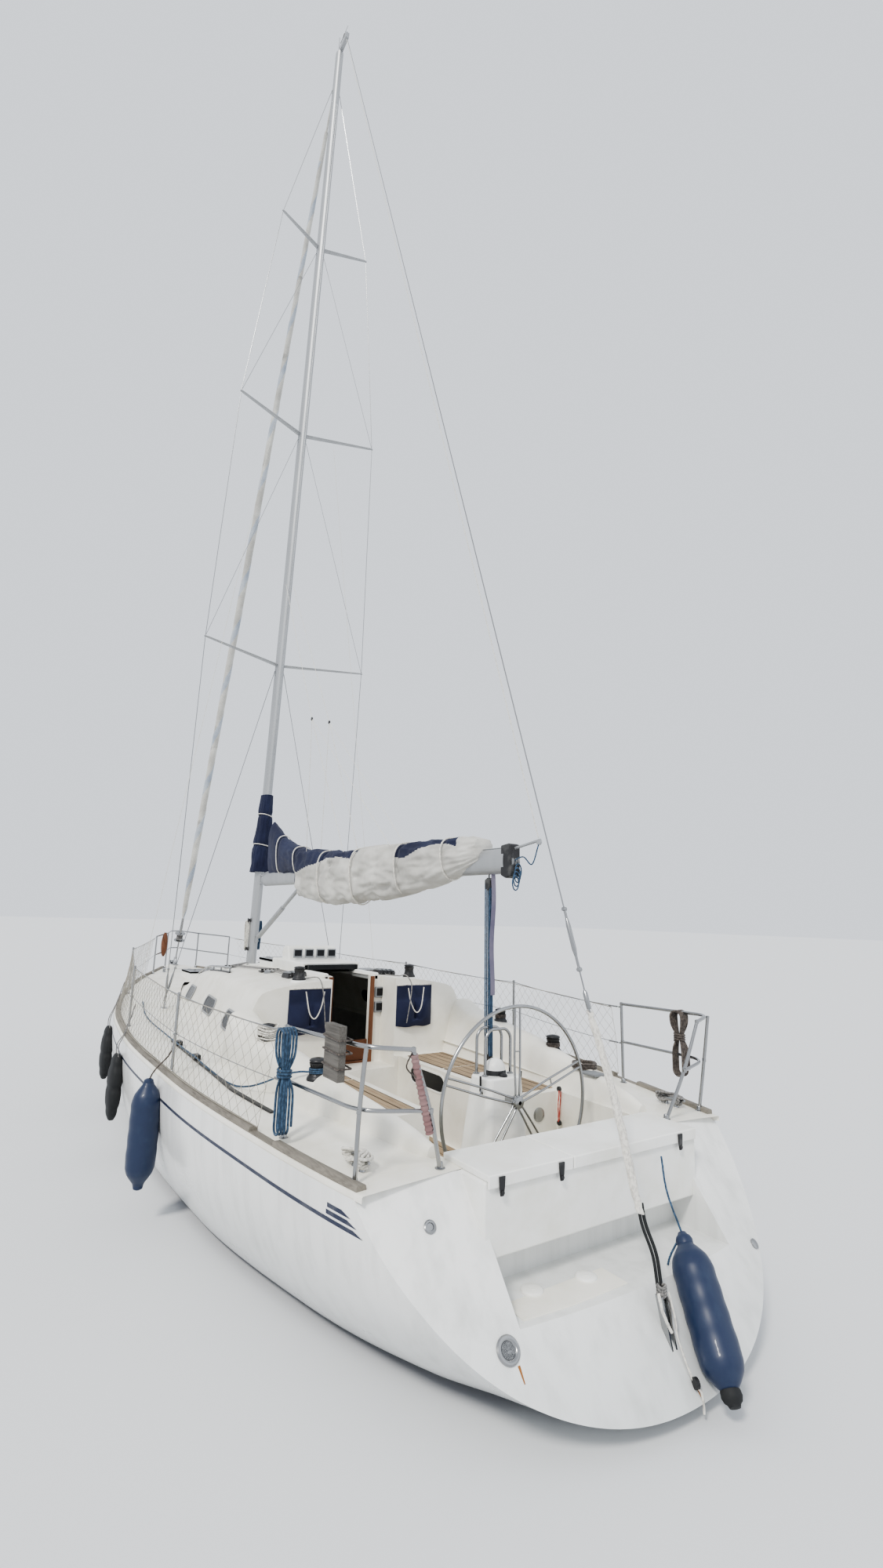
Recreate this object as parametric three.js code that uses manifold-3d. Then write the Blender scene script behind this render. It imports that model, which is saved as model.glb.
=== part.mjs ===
// A cruising sailing yacht of about twelve metres, afloat with its sails stowed.
// Millimetres, +X to the bow, +Y to port, +Z up. The origin is on the centreline,
// amidships, at the waterline.

import * as THREE from "three";
import { mergeVertices } from "three/addons/utils/BufferGeometryUtils.js";
import Module from "manifold-3d";

const wasm = await Module();
wasm.setup();

// Hull lines: station x, half beam and height at the sheer, height of the keel line,
// and how full the section is (2 is an ellipse, more is boxier).
const hullLines = [
  { x: -6200, beam: 1190, sheer: 1008, keel: 160, full: 2.25 },
  { x: -5800, beam: 1285, sheer: 1012, keel: 80, full: 2.25 },
  { x: -5400, beam: 1390, sheer: 1018, keel: -20, full: 2.25 },
  { x: -5000, beam: 1520, sheer: 1026, keel: -120, full: 2.28 },
  { x: -4000, beam: 1710, sheer: 1056, keel: -320, full: 2.3 },
  { x: -2500, beam: 1885, sheer: 1100, keel: -480, full: 2.35 },
  { x: -1000, beam: 1930, sheer: 1130, keel: -540, full: 2.35 },
  { x: 500, beam: 1845, sheer: 1165, keel: -530, full: 2.25 },
  { x: 2000, beam: 1600, sheer: 1210, keel: -480, full: 2.1 },
  { x: 3200, beam: 1270, sheer: 1260, keel: -400, full: 1.95 },
  { x: 4200, beam: 900, sheer: 1305, keel: -290, full: 1.8 },
  { x: 4900, beam: 590, sheer: 1332, keel: -160, full: 1.65 },
  { x: 5420, beam: 350, sheer: 1355, keel: 0, full: 1.55 },
  { x: 5800, beam: 165, sheer: 1372, keel: 620, full: 1.5 },
  { x: 6050, beam: 22, sheer: 1380, keel: 1300, full: 1.5 },
];
const hullStations = [
  -6200, -5800, -5400, -5000, -4500, -4000, -3250, -2500, -1750, -1000, 0, 700, 1400, 2000, 2600,
  3200, 3700, 4200, 4600, 4900, 5200, 5420, 5650, 5800, 5950, 6050,
];
const hullSkin = 30;
const touch = 0.3; // what two pieces that touch keep between them

// Transom: it leans aft going down and is rounded across, x = foot + lean z + round y^2
const transom = { foot: -5956, lean: 0.807, round: 0.000071, wall: 40 };

// Deck, coachroof and cockpit
const deck = { edge: 30, camber: 60, inset: 3, wall: 40 };
const bulkheadX = -2100;
const recess = { half: 360, fore: -1800, floor: 980 };
const coachroof = [
  { x: bulkheadX, base: 1330, side: 1110, edge: 1690, crown: 1850 },
  { x: -600, base: 1170, side: 970, edge: 1690, crown: 1840 },
  { x: 1000, base: 990, side: 790, edge: 1620, crown: 1760 },
  { x: 2000, base: 800, side: 610, edge: 1500, crown: 1610 },
  { x: 2800, base: 600, side: 440, edge: 1370, crown: 1440 },
  { x: 3300, base: 440, side: 290, edge: 1290, crown: 1325 },
];
const coaming = [
  { x: bulkheadX - 0.5, inner: 962, outer: 1400, top: 1600 },
  { x: -2350, inner: 962, outer: 1400, top: 1510 },
  { x: -2750, inner: 965, outer: 1375, top: 1455 },
  { x: -3300, inner: 962, outer: 1300, top: 1410 },
  { x: -3650, inner: 950, outer: 1255, top: 1350 },
  { x: -4000, inner: 930, outer: 1160, top: 1300 },
  { x: -4300, inner: 900, outer: 1090, top: 1255 },
  { x: -4600, inner: 875, outer: 1035, top: 1205 },
  { x: -4790, inner: 870, outer: 975, top: 1150 },
];
const coamingLean = 0.25;
const cockpit = {
  floor: 500,
  seat: 1080,
  footwell: 400,
  seatEnd: -3950,
  wellHalf: 860,
  half: 1000,
  aft: -4830,
  skin: 40,
};
const scoop = { half: 860, floor: 500, fore: -5080, wall: 40 };
const stepPanel = { aft: -5490, fore: -5285, inner: 60, outer: 800, rise: 4 };
const sternBox = { aft: -5250, floor: 700, top: 1085, wall: 30 };
const sternLid = { fore: -4832, aft: -5270, top: 1122, half: 885, seam: 255, skirt: 72, lip: 14, split: 3 };

// Companionway and its sliding hatch
const companionway = { half: 220, sill: 1000, front: -1300 };
const garage = { aft: -1280, fore: -380, half: 345, top: 1945 };
const slide = { aft: -1340, length: 800, half: 295, bottom: 1870, thick: 30 };

// Portlights along the coachroof side: centre x, length; all of one height
const portlights = [
  { x: -1550, length: 550 },
  { x: -400, length: 550 },
  { x: 1050, length: 540 },
];
const portlight = { height: 170, level: 0.52, glass: 14, sunk: 4 };

// Deck hatches: aft and fore edge, half width, top of the raised rim
const hatches = [
  { name: "saloon_hatch", aft: -290, fore: 270, half: 270, rim: 1880 },
  { name: "fore_hatch", aft: 3500, fore: 4060, half: 280, rim: 1440 },
];
const hatchLid = { thick: 26, rim: 35, proud: 6 };

// Toe rail: its aft end, how far it sits in from the hull's edge, and its section
const toeRailSize = { aft: -4960, inset: 14, wide: 62, height: 32, low: 6 };

// Rig
const mast = { x: 1411, z: 1300, rake: 0.056, foot: 1750, top: 17450, along: 210, across: 124 };
const spreaders = [
  { z: 6150, half: 1209, chord: 110 },
  { z: 9990, half: 1093, chord: 96 },
  { z: 13415, half: 740, chord: 82 },
];
const spreaderSweep = 0.281;
const spreaderRise = 50;
const wire = 5;
const chainplate = { x: 1030, y: 1200, height: 78 };
const capTop = 16550;
const lowerTop = 6050;
const forestay = { foot: [5790, 0, 1470], headZ: 16700 };
const backstay = { head: [215, 0, 17337], footZ: 260, sleeveTop: 1910, sleeveEnd: 870, tangEnd: 450 };
const gooseneck = { z: 2930, behind: 165 };
const boom = { end: [-4356, 2912], height: 200, across: 116, start: 120, crane: [-4700, 0, 3045] };
const vang = { footZ: 2100, headX: -250, tube: 34, rod: 24 };

// Steering
const wheel = { x: -4455, z: 1206, radius: 648, rim: 13, hub: 46 };
const pedestal = {
  fore: -3980,
  aft: -4400,
  foreTop: -4100,
  aftTop: -4340,
  halfBase: 218,
  halfTop: 160,
  top: 1345,
  compass: -4200,
  hoops: [-4130, -4235],
  hoopTop: 1665,
  hoopHalf: 118,
};
const rudder = { stock: -4900, top: -200, foot: -1780, radius: 30 };
const propeller = { x: -3035, z: -930 };

const winches = [
  { name: "primary", x: -3600, y: 1150, pad: 1300, size: 1 },
  { name: "secondary", x: -2750, y: 1225, pad: 1442, size: 0.88 },
  { name: "roof", x: -1906, y: 631, pad: 1828, size: 0.86 },
];
const winchFoot = 92;
const rail = 12.5;
const railInset = 104;
const stanchions = [{ x: 2480, inset: 104 }, { x: 50, inset: 104 }, { x: -2235, inset: 66 }];
const stanchionTop = 640;

// Small maths

const mastX = (z) => mast.x - mast.rake * (z - mast.z);
const transomX = (z, y = 0) => transom.foot + transom.lean * z + transom.round * y ** 2;

// A smooth curve through a table's columns, with slopes that don't overshoot.
function alongTable(table, x, column) {
  const rows = [...table].sort((a, b) => a.x - b.x);
  const at = Math.min(Math.max(x, rows[0].x), rows[rows.length - 1].x);
  let i = rows.findIndex((row) => row.x >= at);
  i = Math.max(i, 1);
  const secant = (k) => (rows[k][column] - rows[k - 1][column]) / (rows[k].x - rows[k - 1].x);
  const slope = (k) => {
    if (k === 0) return secant(1);
    if (k === rows.length - 1) return secant(k);
    const before = secant(k), after = secant(k + 1);
    if (before * after <= 0) return 0;
    return (2 * before * after) / (before + after);
  };
  const a = rows[i - 1], b = rows[i];
  const span = b.x - a.x, t = (at - a.x) / span;
  const h = [2 * t ** 3 - 3 * t ** 2 + 1, t ** 3 - 2 * t ** 2 + t, 3 * t ** 2 - 2 * t ** 3, t ** 3 - t ** 2];
  return h[0] * a[column] + h[1] * span * slope(i - 1) + h[2] * b[column] + h[3] * span * slope(i);
}
const hullAt = (x) => ({
  beam: alongTable(hullLines, x, "beam"),
  sheer: alongTable(hullLines, x, "sheer"),
  keel: alongTable(hullLines, x, "keel"),
  full: alongTable(hullLines, x, "full"),
});
function deckZ(x, y) {
  const { beam, sheer } = hullAt(x);
  return sheer + deck.edge + (deck.camber * beam / 1930) * (1 - (y / beam) ** 2);
}

// Solids

function solidOf(geometry) {
  const bare = geometry.clone();
  bare.deleteAttribute("normal");
  bare.deleteAttribute("uv");
  const merged = mergeVertices(bare, 1e-3);
  const build = (index) =>
    new wasm.Manifold(new wasm.Mesh({
      numProp: 3, vertProperties: merged.attributes.position.array, triVerts: index,
    }));
  const index = new Uint32Array(merged.index.array);
  const solid = build(index);
  if (solid.volume() >= 0) return solid;
  for (let i = 0; i < index.length; i += 3) [index[i + 1], index[i + 2]] = [index[i + 2], index[i + 1]];
  return build(index);
}
function geometryOf(solid) {
  const mesh = solid.getMesh();
  return new THREE.BufferGeometry()
    .setAttribute("position", new THREE.BufferAttribute(mesh.vertProperties, mesh.numProp))
    .setIndex(new THREE.BufferAttribute(mesh.triVerts, 1));
}
const moved = (solid, matrix) => solidOf(geometryOf(solid).applyMatrix4(matrix));
const shifted = (solid, x, y, z) => moved(solid, new THREE.Matrix4().makeTranslation(x, y, z));
const joined = (solids) => solids.reduce((sum, next) => sum.add(next));
// Cuts one solid back so that it keeps the small gap to another on every side of it.
function clearOf(solid, other, gap = 0.5) {
  const ways = [[0, gap, 0], [0, -gap, 0], [0, 0, gap], [0, 0, -gap], [gap, 0, 0], [-gap, 0, 0]];
  return ways.reduce((left, [x, y, z]) => left.subtract(shifted(other, x, y, z)), solid);
}
function mirrored(solid) {
  return moved(solid, new THREE.Matrix4().makeScale(1, -1, 1));
}

function box(x0, x1, y0, y1, z0, z1) {
  const g = new THREE.BoxGeometry(x1 - x0, y1 - y0, z1 - z0);
  return solidOf(g.translate((x0 + x1) / 2, (y0 + y1) / 2, (z0 + z1) / 2));
}
// Rings of equally many points, joined along and closed at both ends.
function loft(rings) {
  const n = rings[0].length, points = rings.flat(), index = [];
  const quad = (a, b, c, d) => index.push(a, b, c, a, c, d);
  for (let r = 0; r + 1 < rings.length; r++)
    for (let k = 0; k < n; k++) {
      const next = (k + 1) % n;
      quad(r * n + k, r * n + next, (r + 1) * n + next, (r + 1) * n + k);
    }
  [0, rings.length - 1].forEach((r, end) => {
    const centre = rings[r].reduce((s, p) => s.map((v, i) => v + p[i] / n), [0, 0, 0]);
    points.push(centre);
    for (let k = 0; k < n; k++) {
      const a = r * n + k, b = r * n + ((k + 1) % n), c = points.length - 1;
      index.push(...(end ? [a, b, c] : [b, a, c]));
    }
  });
  return solidOf(new THREE.BufferGeometry()
    .setAttribute("position", new THREE.BufferAttribute(new Float32Array(points.flat()), 3))
    .setIndex(index));
}
const vector = (p) => new THREE.Vector3(...p);
// Stands a solid made along +Z on the line from one point to another.
function aim(geometry, from, to) {
  const a = vector(from), along = vector(to).sub(a).normalize();
  const turn = new THREE.Quaternion().setFromUnitVectors(new THREE.Vector3(0, 0, 1), along);
  return geometry.applyQuaternion(turn).translate(a.x, a.y, a.z);
}
function rod(from, to, radius, sides = 6, radiusTo = radius) {
  const length = vector(from).distanceTo(vector(to));
  const g = new THREE.CylinderGeometry(radiusTo, radius, length, sides);
  return solidOf(aim(g.rotateX(Math.PI / 2).translate(0, 0, length / 2), from, to));
}
function ball(centre, radius, sides = 6) {
  const g = new THREE.SphereGeometry(radius, sides, sides / 2);
  return solidOf(g.translate(...centre));
}
// Straight tubes from point to point, with a ball in each bend.
function tubing(points, radius, sides = 6) {
  const rods = points.slice(1).map((p, i) => rod(points[i], p, radius, sides));
  const balls = points.slice(1, -1).map((p) => ball(p, radius * 1.04, sides));
  return joined([...rods, ...balls]);
}
function turned(profile, sides) {
  const points = profile.map(([r, z]) => new THREE.Vector2(r, z));
  return new THREE.LatheGeometry(points, sides).rotateX(Math.PI / 2);
}
function prism(outline, depth) {
  const shape = new THREE.Shape(outline.map(([x, y]) => new THREE.Vector2(x, y)));
  return new THREE.ExtrudeGeometry(shape, { depth, bevelEnabled: false });
}
function ellipse(rx, ry, n) {
  return Array.from({ length: n }, (_, i) => {
    const a = (2 * Math.PI * i) / n;
    return [rx * Math.cos(a), ry * Math.sin(a)];
  });
}
// A bar with round ends, in the XY plane.
function slot(length, height, perEnd = 6) {
  const r = height / 2, half = length / 2 - r, points = [];
  for (const [side, start] of [[1, -Math.PI / 2], [-1, Math.PI / 2]])
    for (let i = 0; i <= perEnd; i++) {
      const a = start + (Math.PI * i) / perEnd;
      points.push([side * half + r * Math.cos(a), r * Math.sin(a)]);
    }
  return points;
}

// Materials

const finish = (color, roughness, metalness) => new THREE.MeshStandardMaterial({ color, roughness, metalness });
const gelcoat = () => finish(0xf1f1ec, 0.25, 0);
const deckWhite = () => finish(0xece9df, 0.45, 0);
const teak = () => finish(0x8f8676, 0.8, 0);
const varnish = () => finish(0x8a4b23, 0.4, 0);
const stainless = () => finish(0xc9ccd0, 0.18, 1);
const alloy = () => finish(0x9da3a8, 0.4, 1);
const castIron = () => finish(0x30353c, 0.7, 0.2);
const acrylic = () => finish(0x22262b, 0.08, 0);
const winchGrey = () => finish(0x55585c, 0.35, 0.9);
const navy = () => finish(0x1b2440, 0.85, 0);
const canvas = () => finish(0x8f918d, 0.9, 0);
const fenderBlue = () => finish(0x1f3350, 0.4, 0);
const fenderBlack = () => finish(0x17181b, 0.6, 0);
const ropeBlue = () => finish(0x2a4a68, 0.9, 0);
const ropeDark = () => finish(0x38342f, 0.9, 0);
const oldWood = () => finish(0x4a4239, 0.9, 0);

const yacht = new THREE.Group();
yacht.name = "sailing_yacht";
const groups = {};
function group(name) {
  if (!groups[name]) {
    groups[name] = new THREE.Group();
    yacht.add(groups[name]);
  }
  return groups[name];
}
function add(where, name, solid, material, place = [0, 0, 0]) {
  const geometry = solid.isBufferGeometry ? solid : geometryOf(solid);
  const mesh = new THREE.Mesh(geometry, material);
  mesh.name = name;
  mesh.position.set(...place);
  group(where).add(mesh);
  return mesh;
}
const sides = [["port", 1], ["starboard", -1]];
const onSide = (solid, s) => (s > 0 ? solid : mirrored(solid));

// Hull

// Half a section from sheer to keel line, as [y, z] on the port side.
function halfSection(x, inset, steps) {
  const { beam, sheer, keel, full } = hullAt(x);
  const half = Math.max(beam - inset, 4), low = Math.min(keel + inset, sheer - 20);
  return Array.from({ length: steps + 1 }, (_, i) => {
    const a = (Math.PI / 2) * (i / steps);
    const y = half * Math.cos(a) ** (2 / full), z = sheer - (sheer - low) * Math.sin(a) ** (2 / full);
    return [i === steps ? 0 : y, z];
  });
}
function hullLoft(inset, rise, stations = hullStations, steps = 9) {
  return loft(stations.map((x) => {
    const half = halfSection(x, inset, steps);
    const port = half.map(([y, z]) => [x, y, z]);
    const starboard = half.slice(0, -1).reverse().map(([y, z]) => [x, -y, z]);
    if (!rise) return [...port, ...starboard];
    const { sheer } = hullAt(x), [y] = half[0];
    return [[x, y, sheer + rise], ...port, ...starboard, [x, -y, sheer + rise]];
  }));
}
// All that lies aft of the transom, moved forward by an offset.
function abaft(forward) {
  const low = -600, high = 2200, far = -8000;
  const across = Array.from({ length: 13 }, (_, i) => 2400 - 400 * i);
  return loft(across.map((y) => [
    [far, y, low], [transomX(low, y) + forward, y, low], [transomX(high, y) + forward, y, high], [far, y, high],
  ]));
}
const outside = hullLoft(0, 0);
const innerStations = hullStations.filter((x) => x < 5700);
const inside = hullLoft(hullSkin, 500, innerStations).subtract(abaft(transom.wall));
const insideGap = hullLoft(hullSkin + touch, 500, innerStations).subtract(abaft(transom.wall + 1));
const scoopReach = scoop.half + scoop.wall, scoopBase = scoop.floor - scoop.wall;
const scoopFore = scoop.fore + scoop.wall;
const scoopGap = box(-6500, scoopFore, -scoopReach - touch, scoopReach + touch, scoopBase - touch, 1800)
  .add(box(scoopFore - 1, scoopFore + 100, -scoopReach - touch, scoopReach + touch, 900, 1800));
const stockHole = rod([rudder.stock, 0, -400], [rudder.stock, 0, 100], rudder.radius + 0.6, 24);
const hull = outside.subtract(abaft(0)).subtract(inside).subtract(scoopGap).subtract(stockHole);
add("hull", "hull", hull, gelcoat());

// Keel: a fin with a bulb, cut to the hull's bottom
function foil(x0, chord, thick, z) {
  const across = [0, 0.55, 0.85, 1, 0.8, 0.45, 0];
  const along = [0, 0.05, 0.14, 0.35, 0.62, 0.84, 1];
  const port = across.map((t, i) => [x0 - along[i] * chord, (t * thick) / 2, z]);
  return [...port, ...port.slice(1, -1).reverse().map(([x, y]) => [x, -y, z])];
}
const hullDown = shifted(outside, 0, 0, -touch);
const finSections = [
  { x: 640, chord: 1540, thick: 190, z: -400 },
  { x: 560, chord: 1260, thick: 165, z: -1200 },
  { x: 500, chord: 1060, thick: 150, z: -1980 },
];
const fin = loft(finSections.map((s) => foil(s.x, s.chord, s.thick, s.z)));
const bulbRadii = [[5, 0], [80, 90], [150, 320], [178, 700], [160, 1150], [105, 1620], [40, 1960], [5, 2050]];
const bulb = loft(bulbRadii.map(([r, along]) => ellipse(r, r * 0.78, 12).map(([y, z]) => [820 - along, y, -1950 + z])));
add("hull", "keel", fin.add(bulb).subtract(hullDown), castIron());

// Rudder: a spade blade on a round stock that turns in the hull
const bladeSections = [
  { x: rudder.stock + 130, chord: 570, thick: 78, z: rudder.top },
  { x: rudder.stock + 115, chord: 500, thick: 62, z: -1000 },
  { x: rudder.stock + 90, chord: 380, thick: 44, z: rudder.foot },
];
const blade = loft(bladeSections.map((s) => foil(s.x, s.chord, s.thick, s.z)));
const stock = rod([rudder.stock, 0, -500], [rudder.stock, 0, 150], rudder.radius, 24);
add("hull", "rudder", blade.add(stock), gelcoat());

// Drive leg and propeller
const legX = propeller.x + 470;
const leg = loft([-300, -930].map((z) => foil(legX, 330, 84, z)));
const legPod = rod([legX, 0, propeller.z], [propeller.x + 42.4, 0, propeller.z], 42, 14, 58);
add("hull", "drive_leg", leg.add(legPod).subtract(hullDown), castIron());
function propellerBlade() {
  const g = prism(ellipse(78, 100, 12), 10).translate(0, 122, -5);
  return solidOf(g.rotateY(Math.PI / 2 - 0.5));
}
const hub = rod([-50, 0, 0], [42, 0, 0], 40, 14, 52);
const blades = [0, 1, 2].map((k) =>
  moved(propellerBlade(), new THREE.Matrix4().makeRotationX((k * 2 * Math.PI) / 3)));
add("hull", "propeller", joined([hub, ...blades]), finish(0xa9803f, 0.4, 1), [propeller.x, 0, propeller.z]);

// Engine block, resting on the hull's floor
add("hull", "engine_block", box(-2920, -2230, -260, 260, -600, 260).intersect(insideGap), castIron());

// Deck: side decks and foredeck, open over the cabin, the cockpit and the stern

function deckRing(x, low) {
  const half = hullAt(x).beam - deck.inset;
  const steps = 8;
  const top = Array.from({ length: steps + 1 }, (_, i) => {
    const y = half * (1 - (2 * i) / steps);
    return [x, y, deckZ(x, y)];
  });
  return [...top, [x, -half, low], [x, half, low]];
}
const slab = loft(hullStations.filter((x) => x <= 5950).map((x) => deckRing(x, hullAt(x).sheer + touch)));
const underDeck = loft(hullStations.filter((x) => x <= -1750).map((x) => deckRing(x, 200)));
const roofFoot = 12; // the coachroof and coamings start this far above the sheer, in the deck
function roofRing(row, inset, low) {
  const b = row.base - inset;
  const s = row.side - inset;
  const e = row.edge - inset;
  const c = row.crown - inset;
  const port = [[b, low], [s, e], [s * 0.93, e + (c - e) * 0.42], [s * 0.6, e + (c - e) * 0.8], [0, c]];
  const starboard = port.slice(0, -1).reverse().map(([y, z]) => [-y, z]);
  return [...port, ...starboard].map(([y, z]) => [row.x, y, z]);
}
const roofRows = [bulkheadX, -1350, -600, 200, 1000, 1500, 2000, 2400, 2800, 3300].map((x) => ({
  x,
  base: alongTable(coachroof, x, "base"),
  side: alongTable(coachroof, x, "side"),
  edge: alongTable(coachroof, x, "edge"),
  crown: alongTable(coachroof, x, "crown"),
}));
const roofOuter = loft(roofRows.map((row) => roofRing(row, 0, hullAt(row.x).sheer + roofFoot)));
const voidRows = roofRows.filter((row) => row.x <= 2400)
  .map((row) => (row.x === bulkheadX ? { ...row, x: bulkheadX + deck.wall } : row));
const roofVoid = loft(voidRows.map((row) => roofRing(row, deck.wall, hullAt(row.x).sheer - 200)));
const skyward = 2400;
const recessBox = (grow) => box(bulkheadX - grow, recess.fore + deck.wall + grow, -recess.half - deck.wall - grow,
  recess.half + deck.wall + grow, recess.floor - deck.wall - grow, skyward);
const recessShell = recessBox(0);
const cockpitHole = box(cockpit.aft - cockpit.skin, bulkheadX, -cockpit.half - touch, cockpit.half + touch,
  cockpit.floor - 100, skyward);
const sternHole = box(-6600, cockpit.aft - cockpit.skin, -scoopReach - touch, scoopReach + touch, scoopBase, skyward);
const chainplates = sides.map(([, s]) => {
  const { x, y, height } = chainplate;
  const z = deckZ(x, y);
  return box(x - 32, x + 32, s * y - 6, s * y + 6, z - 15, z + height);
});
const cleatPlaces = [[-4700, 1370], [4750, 420]];
function cleat(x, y) {
  const z = deckZ(x, y);
  const feet = [-45, 45].map((d) => rod([x + d, y, z - 12], [x + d, y, z + 46], 13, 8));
  const horns = [-125, 125].map((d) => rod([x, y, z + 46], [x + d, y, z + 56], 15, 8, 9));
  return joined([...feet, ...horns]);
}
const cleats = cleatPlaces.flatMap(([x, y]) => [cleat(x, y), cleat(x, -y)]);
const rimOf = (h) => box(h.aft, h.fore, -h.half, h.half, h.rim - 120, h.rim);
const holeOf = (h) => box(h.aft + hatchLid.rim, h.fore - hatchLid.rim, -h.half + hatchLid.rim,
  h.half - hatchLid.rim, 900, skyward);
const [saloonHatch, foreHatch] = hatches;
const deckSolid = [abaft(0), cockpitHole, sternHole, roofVoid, recessBox(touch), holeOf(foreHatch)].reduce(
  (solid, cut) => solid.subtract(cut),
  joined([slab, rimOf(foreHatch), ...chainplates, ...cleats]),
);
add("deck", "deck_moulding", deckSolid, deckWhite());

// Cockpit: a sole, two seats over lockers, and the well round the wheel
const tub = box(cockpit.aft - cockpit.skin + touch, bulkheadX - touch, -cockpit.half, cockpit.half,
  cockpit.floor - cockpit.skin, cockpit.seat);
const footwell = box(cockpit.seatEnd - 10, bulkheadX - cockpit.skin, -cockpit.footwell, cockpit.footwell,
  cockpit.floor, skyward);
const wheelWell = box(cockpit.aft, cockpit.seatEnd, -cockpit.wellHalf, cockpit.wellHalf, cockpit.floor, skyward);
const threshold = box(bulkheadX - 100, bulkheadX + 10, -recess.half, recess.half, recess.floor, skyward);
const seatVoid = box(cockpit.seatEnd + cockpit.skin, bulkheadX - cockpit.skin, cockpit.footwell + cockpit.skin,
  cockpit.half - cockpit.skin, cockpit.floor - 100, cockpit.seat - cockpit.skin);
const cockpitSolid = [footwell, wheelWell, threshold, seatVoid, mirrored(seatVoid)]
  .reduce((solid, cut) => solid.subtract(cut), tub);
add("deck", "cockpit_moulding", cockpitSolid, deckWhite());

// Stern: the step between the quarters, and the locker under the helm seat
const scoopOuter = box(-6600, scoopFore, -scoopReach, scoopReach, scoopBase, 1800).intersect(underDeck);
const scoopVoid = box(-6700, scoop.fore, -scoop.half, scoop.half, scoop.floor, 2000);
const lockerFore = cockpit.aft - cockpit.skin - touch;
const lockerOuter = box(sternBox.aft, lockerFore, -scoopReach, scoopReach, sternBox.floor, sternBox.top);
const lockerVoid = box(sternBox.aft + sternBox.wall, lockerFore - sternBox.wall, -scoop.half + sternBox.wall,
  scoop.half - sternBox.wall, sternBox.floor + sternBox.wall, 2000);
const panel = box(stepPanel.aft, stepPanel.fore, stepPanel.inner, stepPanel.outer, scoop.floor - 10,
  scoop.floor + stepPanel.rise);
const sternSolid = joined([scoopOuter.subtract(scoopVoid), lockerOuter, panel]).subtract(lockerVoid)
  .subtract(abaft(0));
add("deck", "stern_moulding", sternSolid, deckWhite());

// Where a portlight sits: a frame on the coachroof's port side, x along, y up the side, z outward.
function portlightFrame({ x }) {
  const side = (at) => {
    const low = hullAt(at).sheer + roofFoot;
    const base = alongTable(coachroof, at, "base");
    const top = alongTable(coachroof, at, "side");
    const edge = alongTable(coachroof, at, "edge");
    const mix = (a, b) => a + (b - a) * portlight.level;
    return { centre: vector([at, mix(base, top), mix(low, edge)]), up: vector([0, top - base, edge - low]) };
  };
  const here = side(x);
  const up = here.up.normalize();
  const along = side(x + 200).centre.sub(side(x - 200).centre).normalize();
  const outward = new THREE.Vector3().crossVectors(along, up).normalize();
  if (outward.y < 0) outward.negate();
  const upward = new THREE.Vector3().crossVectors(outward, along).normalize();
  return new THREE.Matrix4().makeBasis(along, upward, outward).setPosition(here.centre);
}
const panes = portlights.map((p) => {
  const frame = portlightFrame(p);
  const hole = prism(slot(p.length, portlight.height), 240).translate(0, 0, -120);
  const pane = prism(slot(p.length - 2 * touch, portlight.height - 2 * touch), portlight.glass)
    .translate(0, 0, -portlight.glass - portlight.sunk);
  return { hole: solidOf(hole.applyMatrix4(frame)), pane: solidOf(pane.applyMatrix4(frame)) };
});

// Coachroof: the cabin trunk, with the recess in its bulkhead, the hatch garage and its runners,
// a hatch rim, the mast step, two winch pads and the instrument pod
const winchPad = (w, s) => rod([w.x, s * w.y, w.pad - 60], [w.x, s * w.y, w.pad], winchFoot * w.size, 16);
const padsFor = (name, s) => winches.filter((w) => w.name === name).map((w) => winchPad(w, s));
const garageSolid = box(garage.aft, garage.fore, -garage.half, garage.half, 1780, garage.top);
const runners = sides.map(([, s]) => {
  const y = s * (slide.half - 5);
  return box(recess.fore, garage.aft, y - 30, y + 30, 1790, slide.bottom);
});
const stepX = mastX(mast.foot);
const mastStep = box(stepX - 160, stepX + 160, -105, 105, mast.foot - 90, mast.foot);
const podOutline = [[-800, -20], [-560, -20], [-575, 120], [-625, 150], [-730, 150]];
const podHalf = 300;
const instrumentPod = solidOf(prism(podOutline, 2 * podHalf).rotateX(Math.PI / 2).translate(0, podHalf, garage.top));
const recessSpace = box(bulkheadX - 10, recess.fore, -recess.half, recess.half, recess.floor, skyward);
const door = box(recess.fore - 100, recess.fore + 200, -companionway.half, companionway.half,
  companionway.sill, skyward);
const roofOpening = box(recess.fore - 100, companionway.front, -companionway.half, companionway.half, 1500, skyward);
const slideSlot = box(garage.aft - 10, garage.fore - 60, -slide.half - 10, slide.half + 10,
  slide.bottom, slide.bottom + slide.thick + 12);
// A solid and its copies a small gap up and to each side, to cut what rests on it.
const gapAround = (solid) => [solid, ...[0, touch].flatMap((z) => [-touch, 0, touch].map((y) =>
  shifted(solid, 0, y, z)))];
const recessBelow = recessShell.intersect(box(-3000, 0, -2000, 2000, 0, 1700));
const portHoles = panes.flatMap(({ hole }) => [hole, mirrored(hole)]);
const roofSolid = [roofVoid.subtract(recessShell), recessSpace, door, roofOpening, slideSlot, holeOf(saloonHatch),
  ...portHoles, ...gapAround(deckSolid)].reduce(
  (solid, cut) => solid.subtract(cut),
  joined([roofOuter, recessBelow, garageSolid, ...runners, mastStep, instrumentPod, rimOf(saloonHatch),
    ...sides.flatMap(([, s]) => padsFor("roof", s))]),
);
add("deck", "coachroof", roofSolid, deckWhite());

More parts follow.
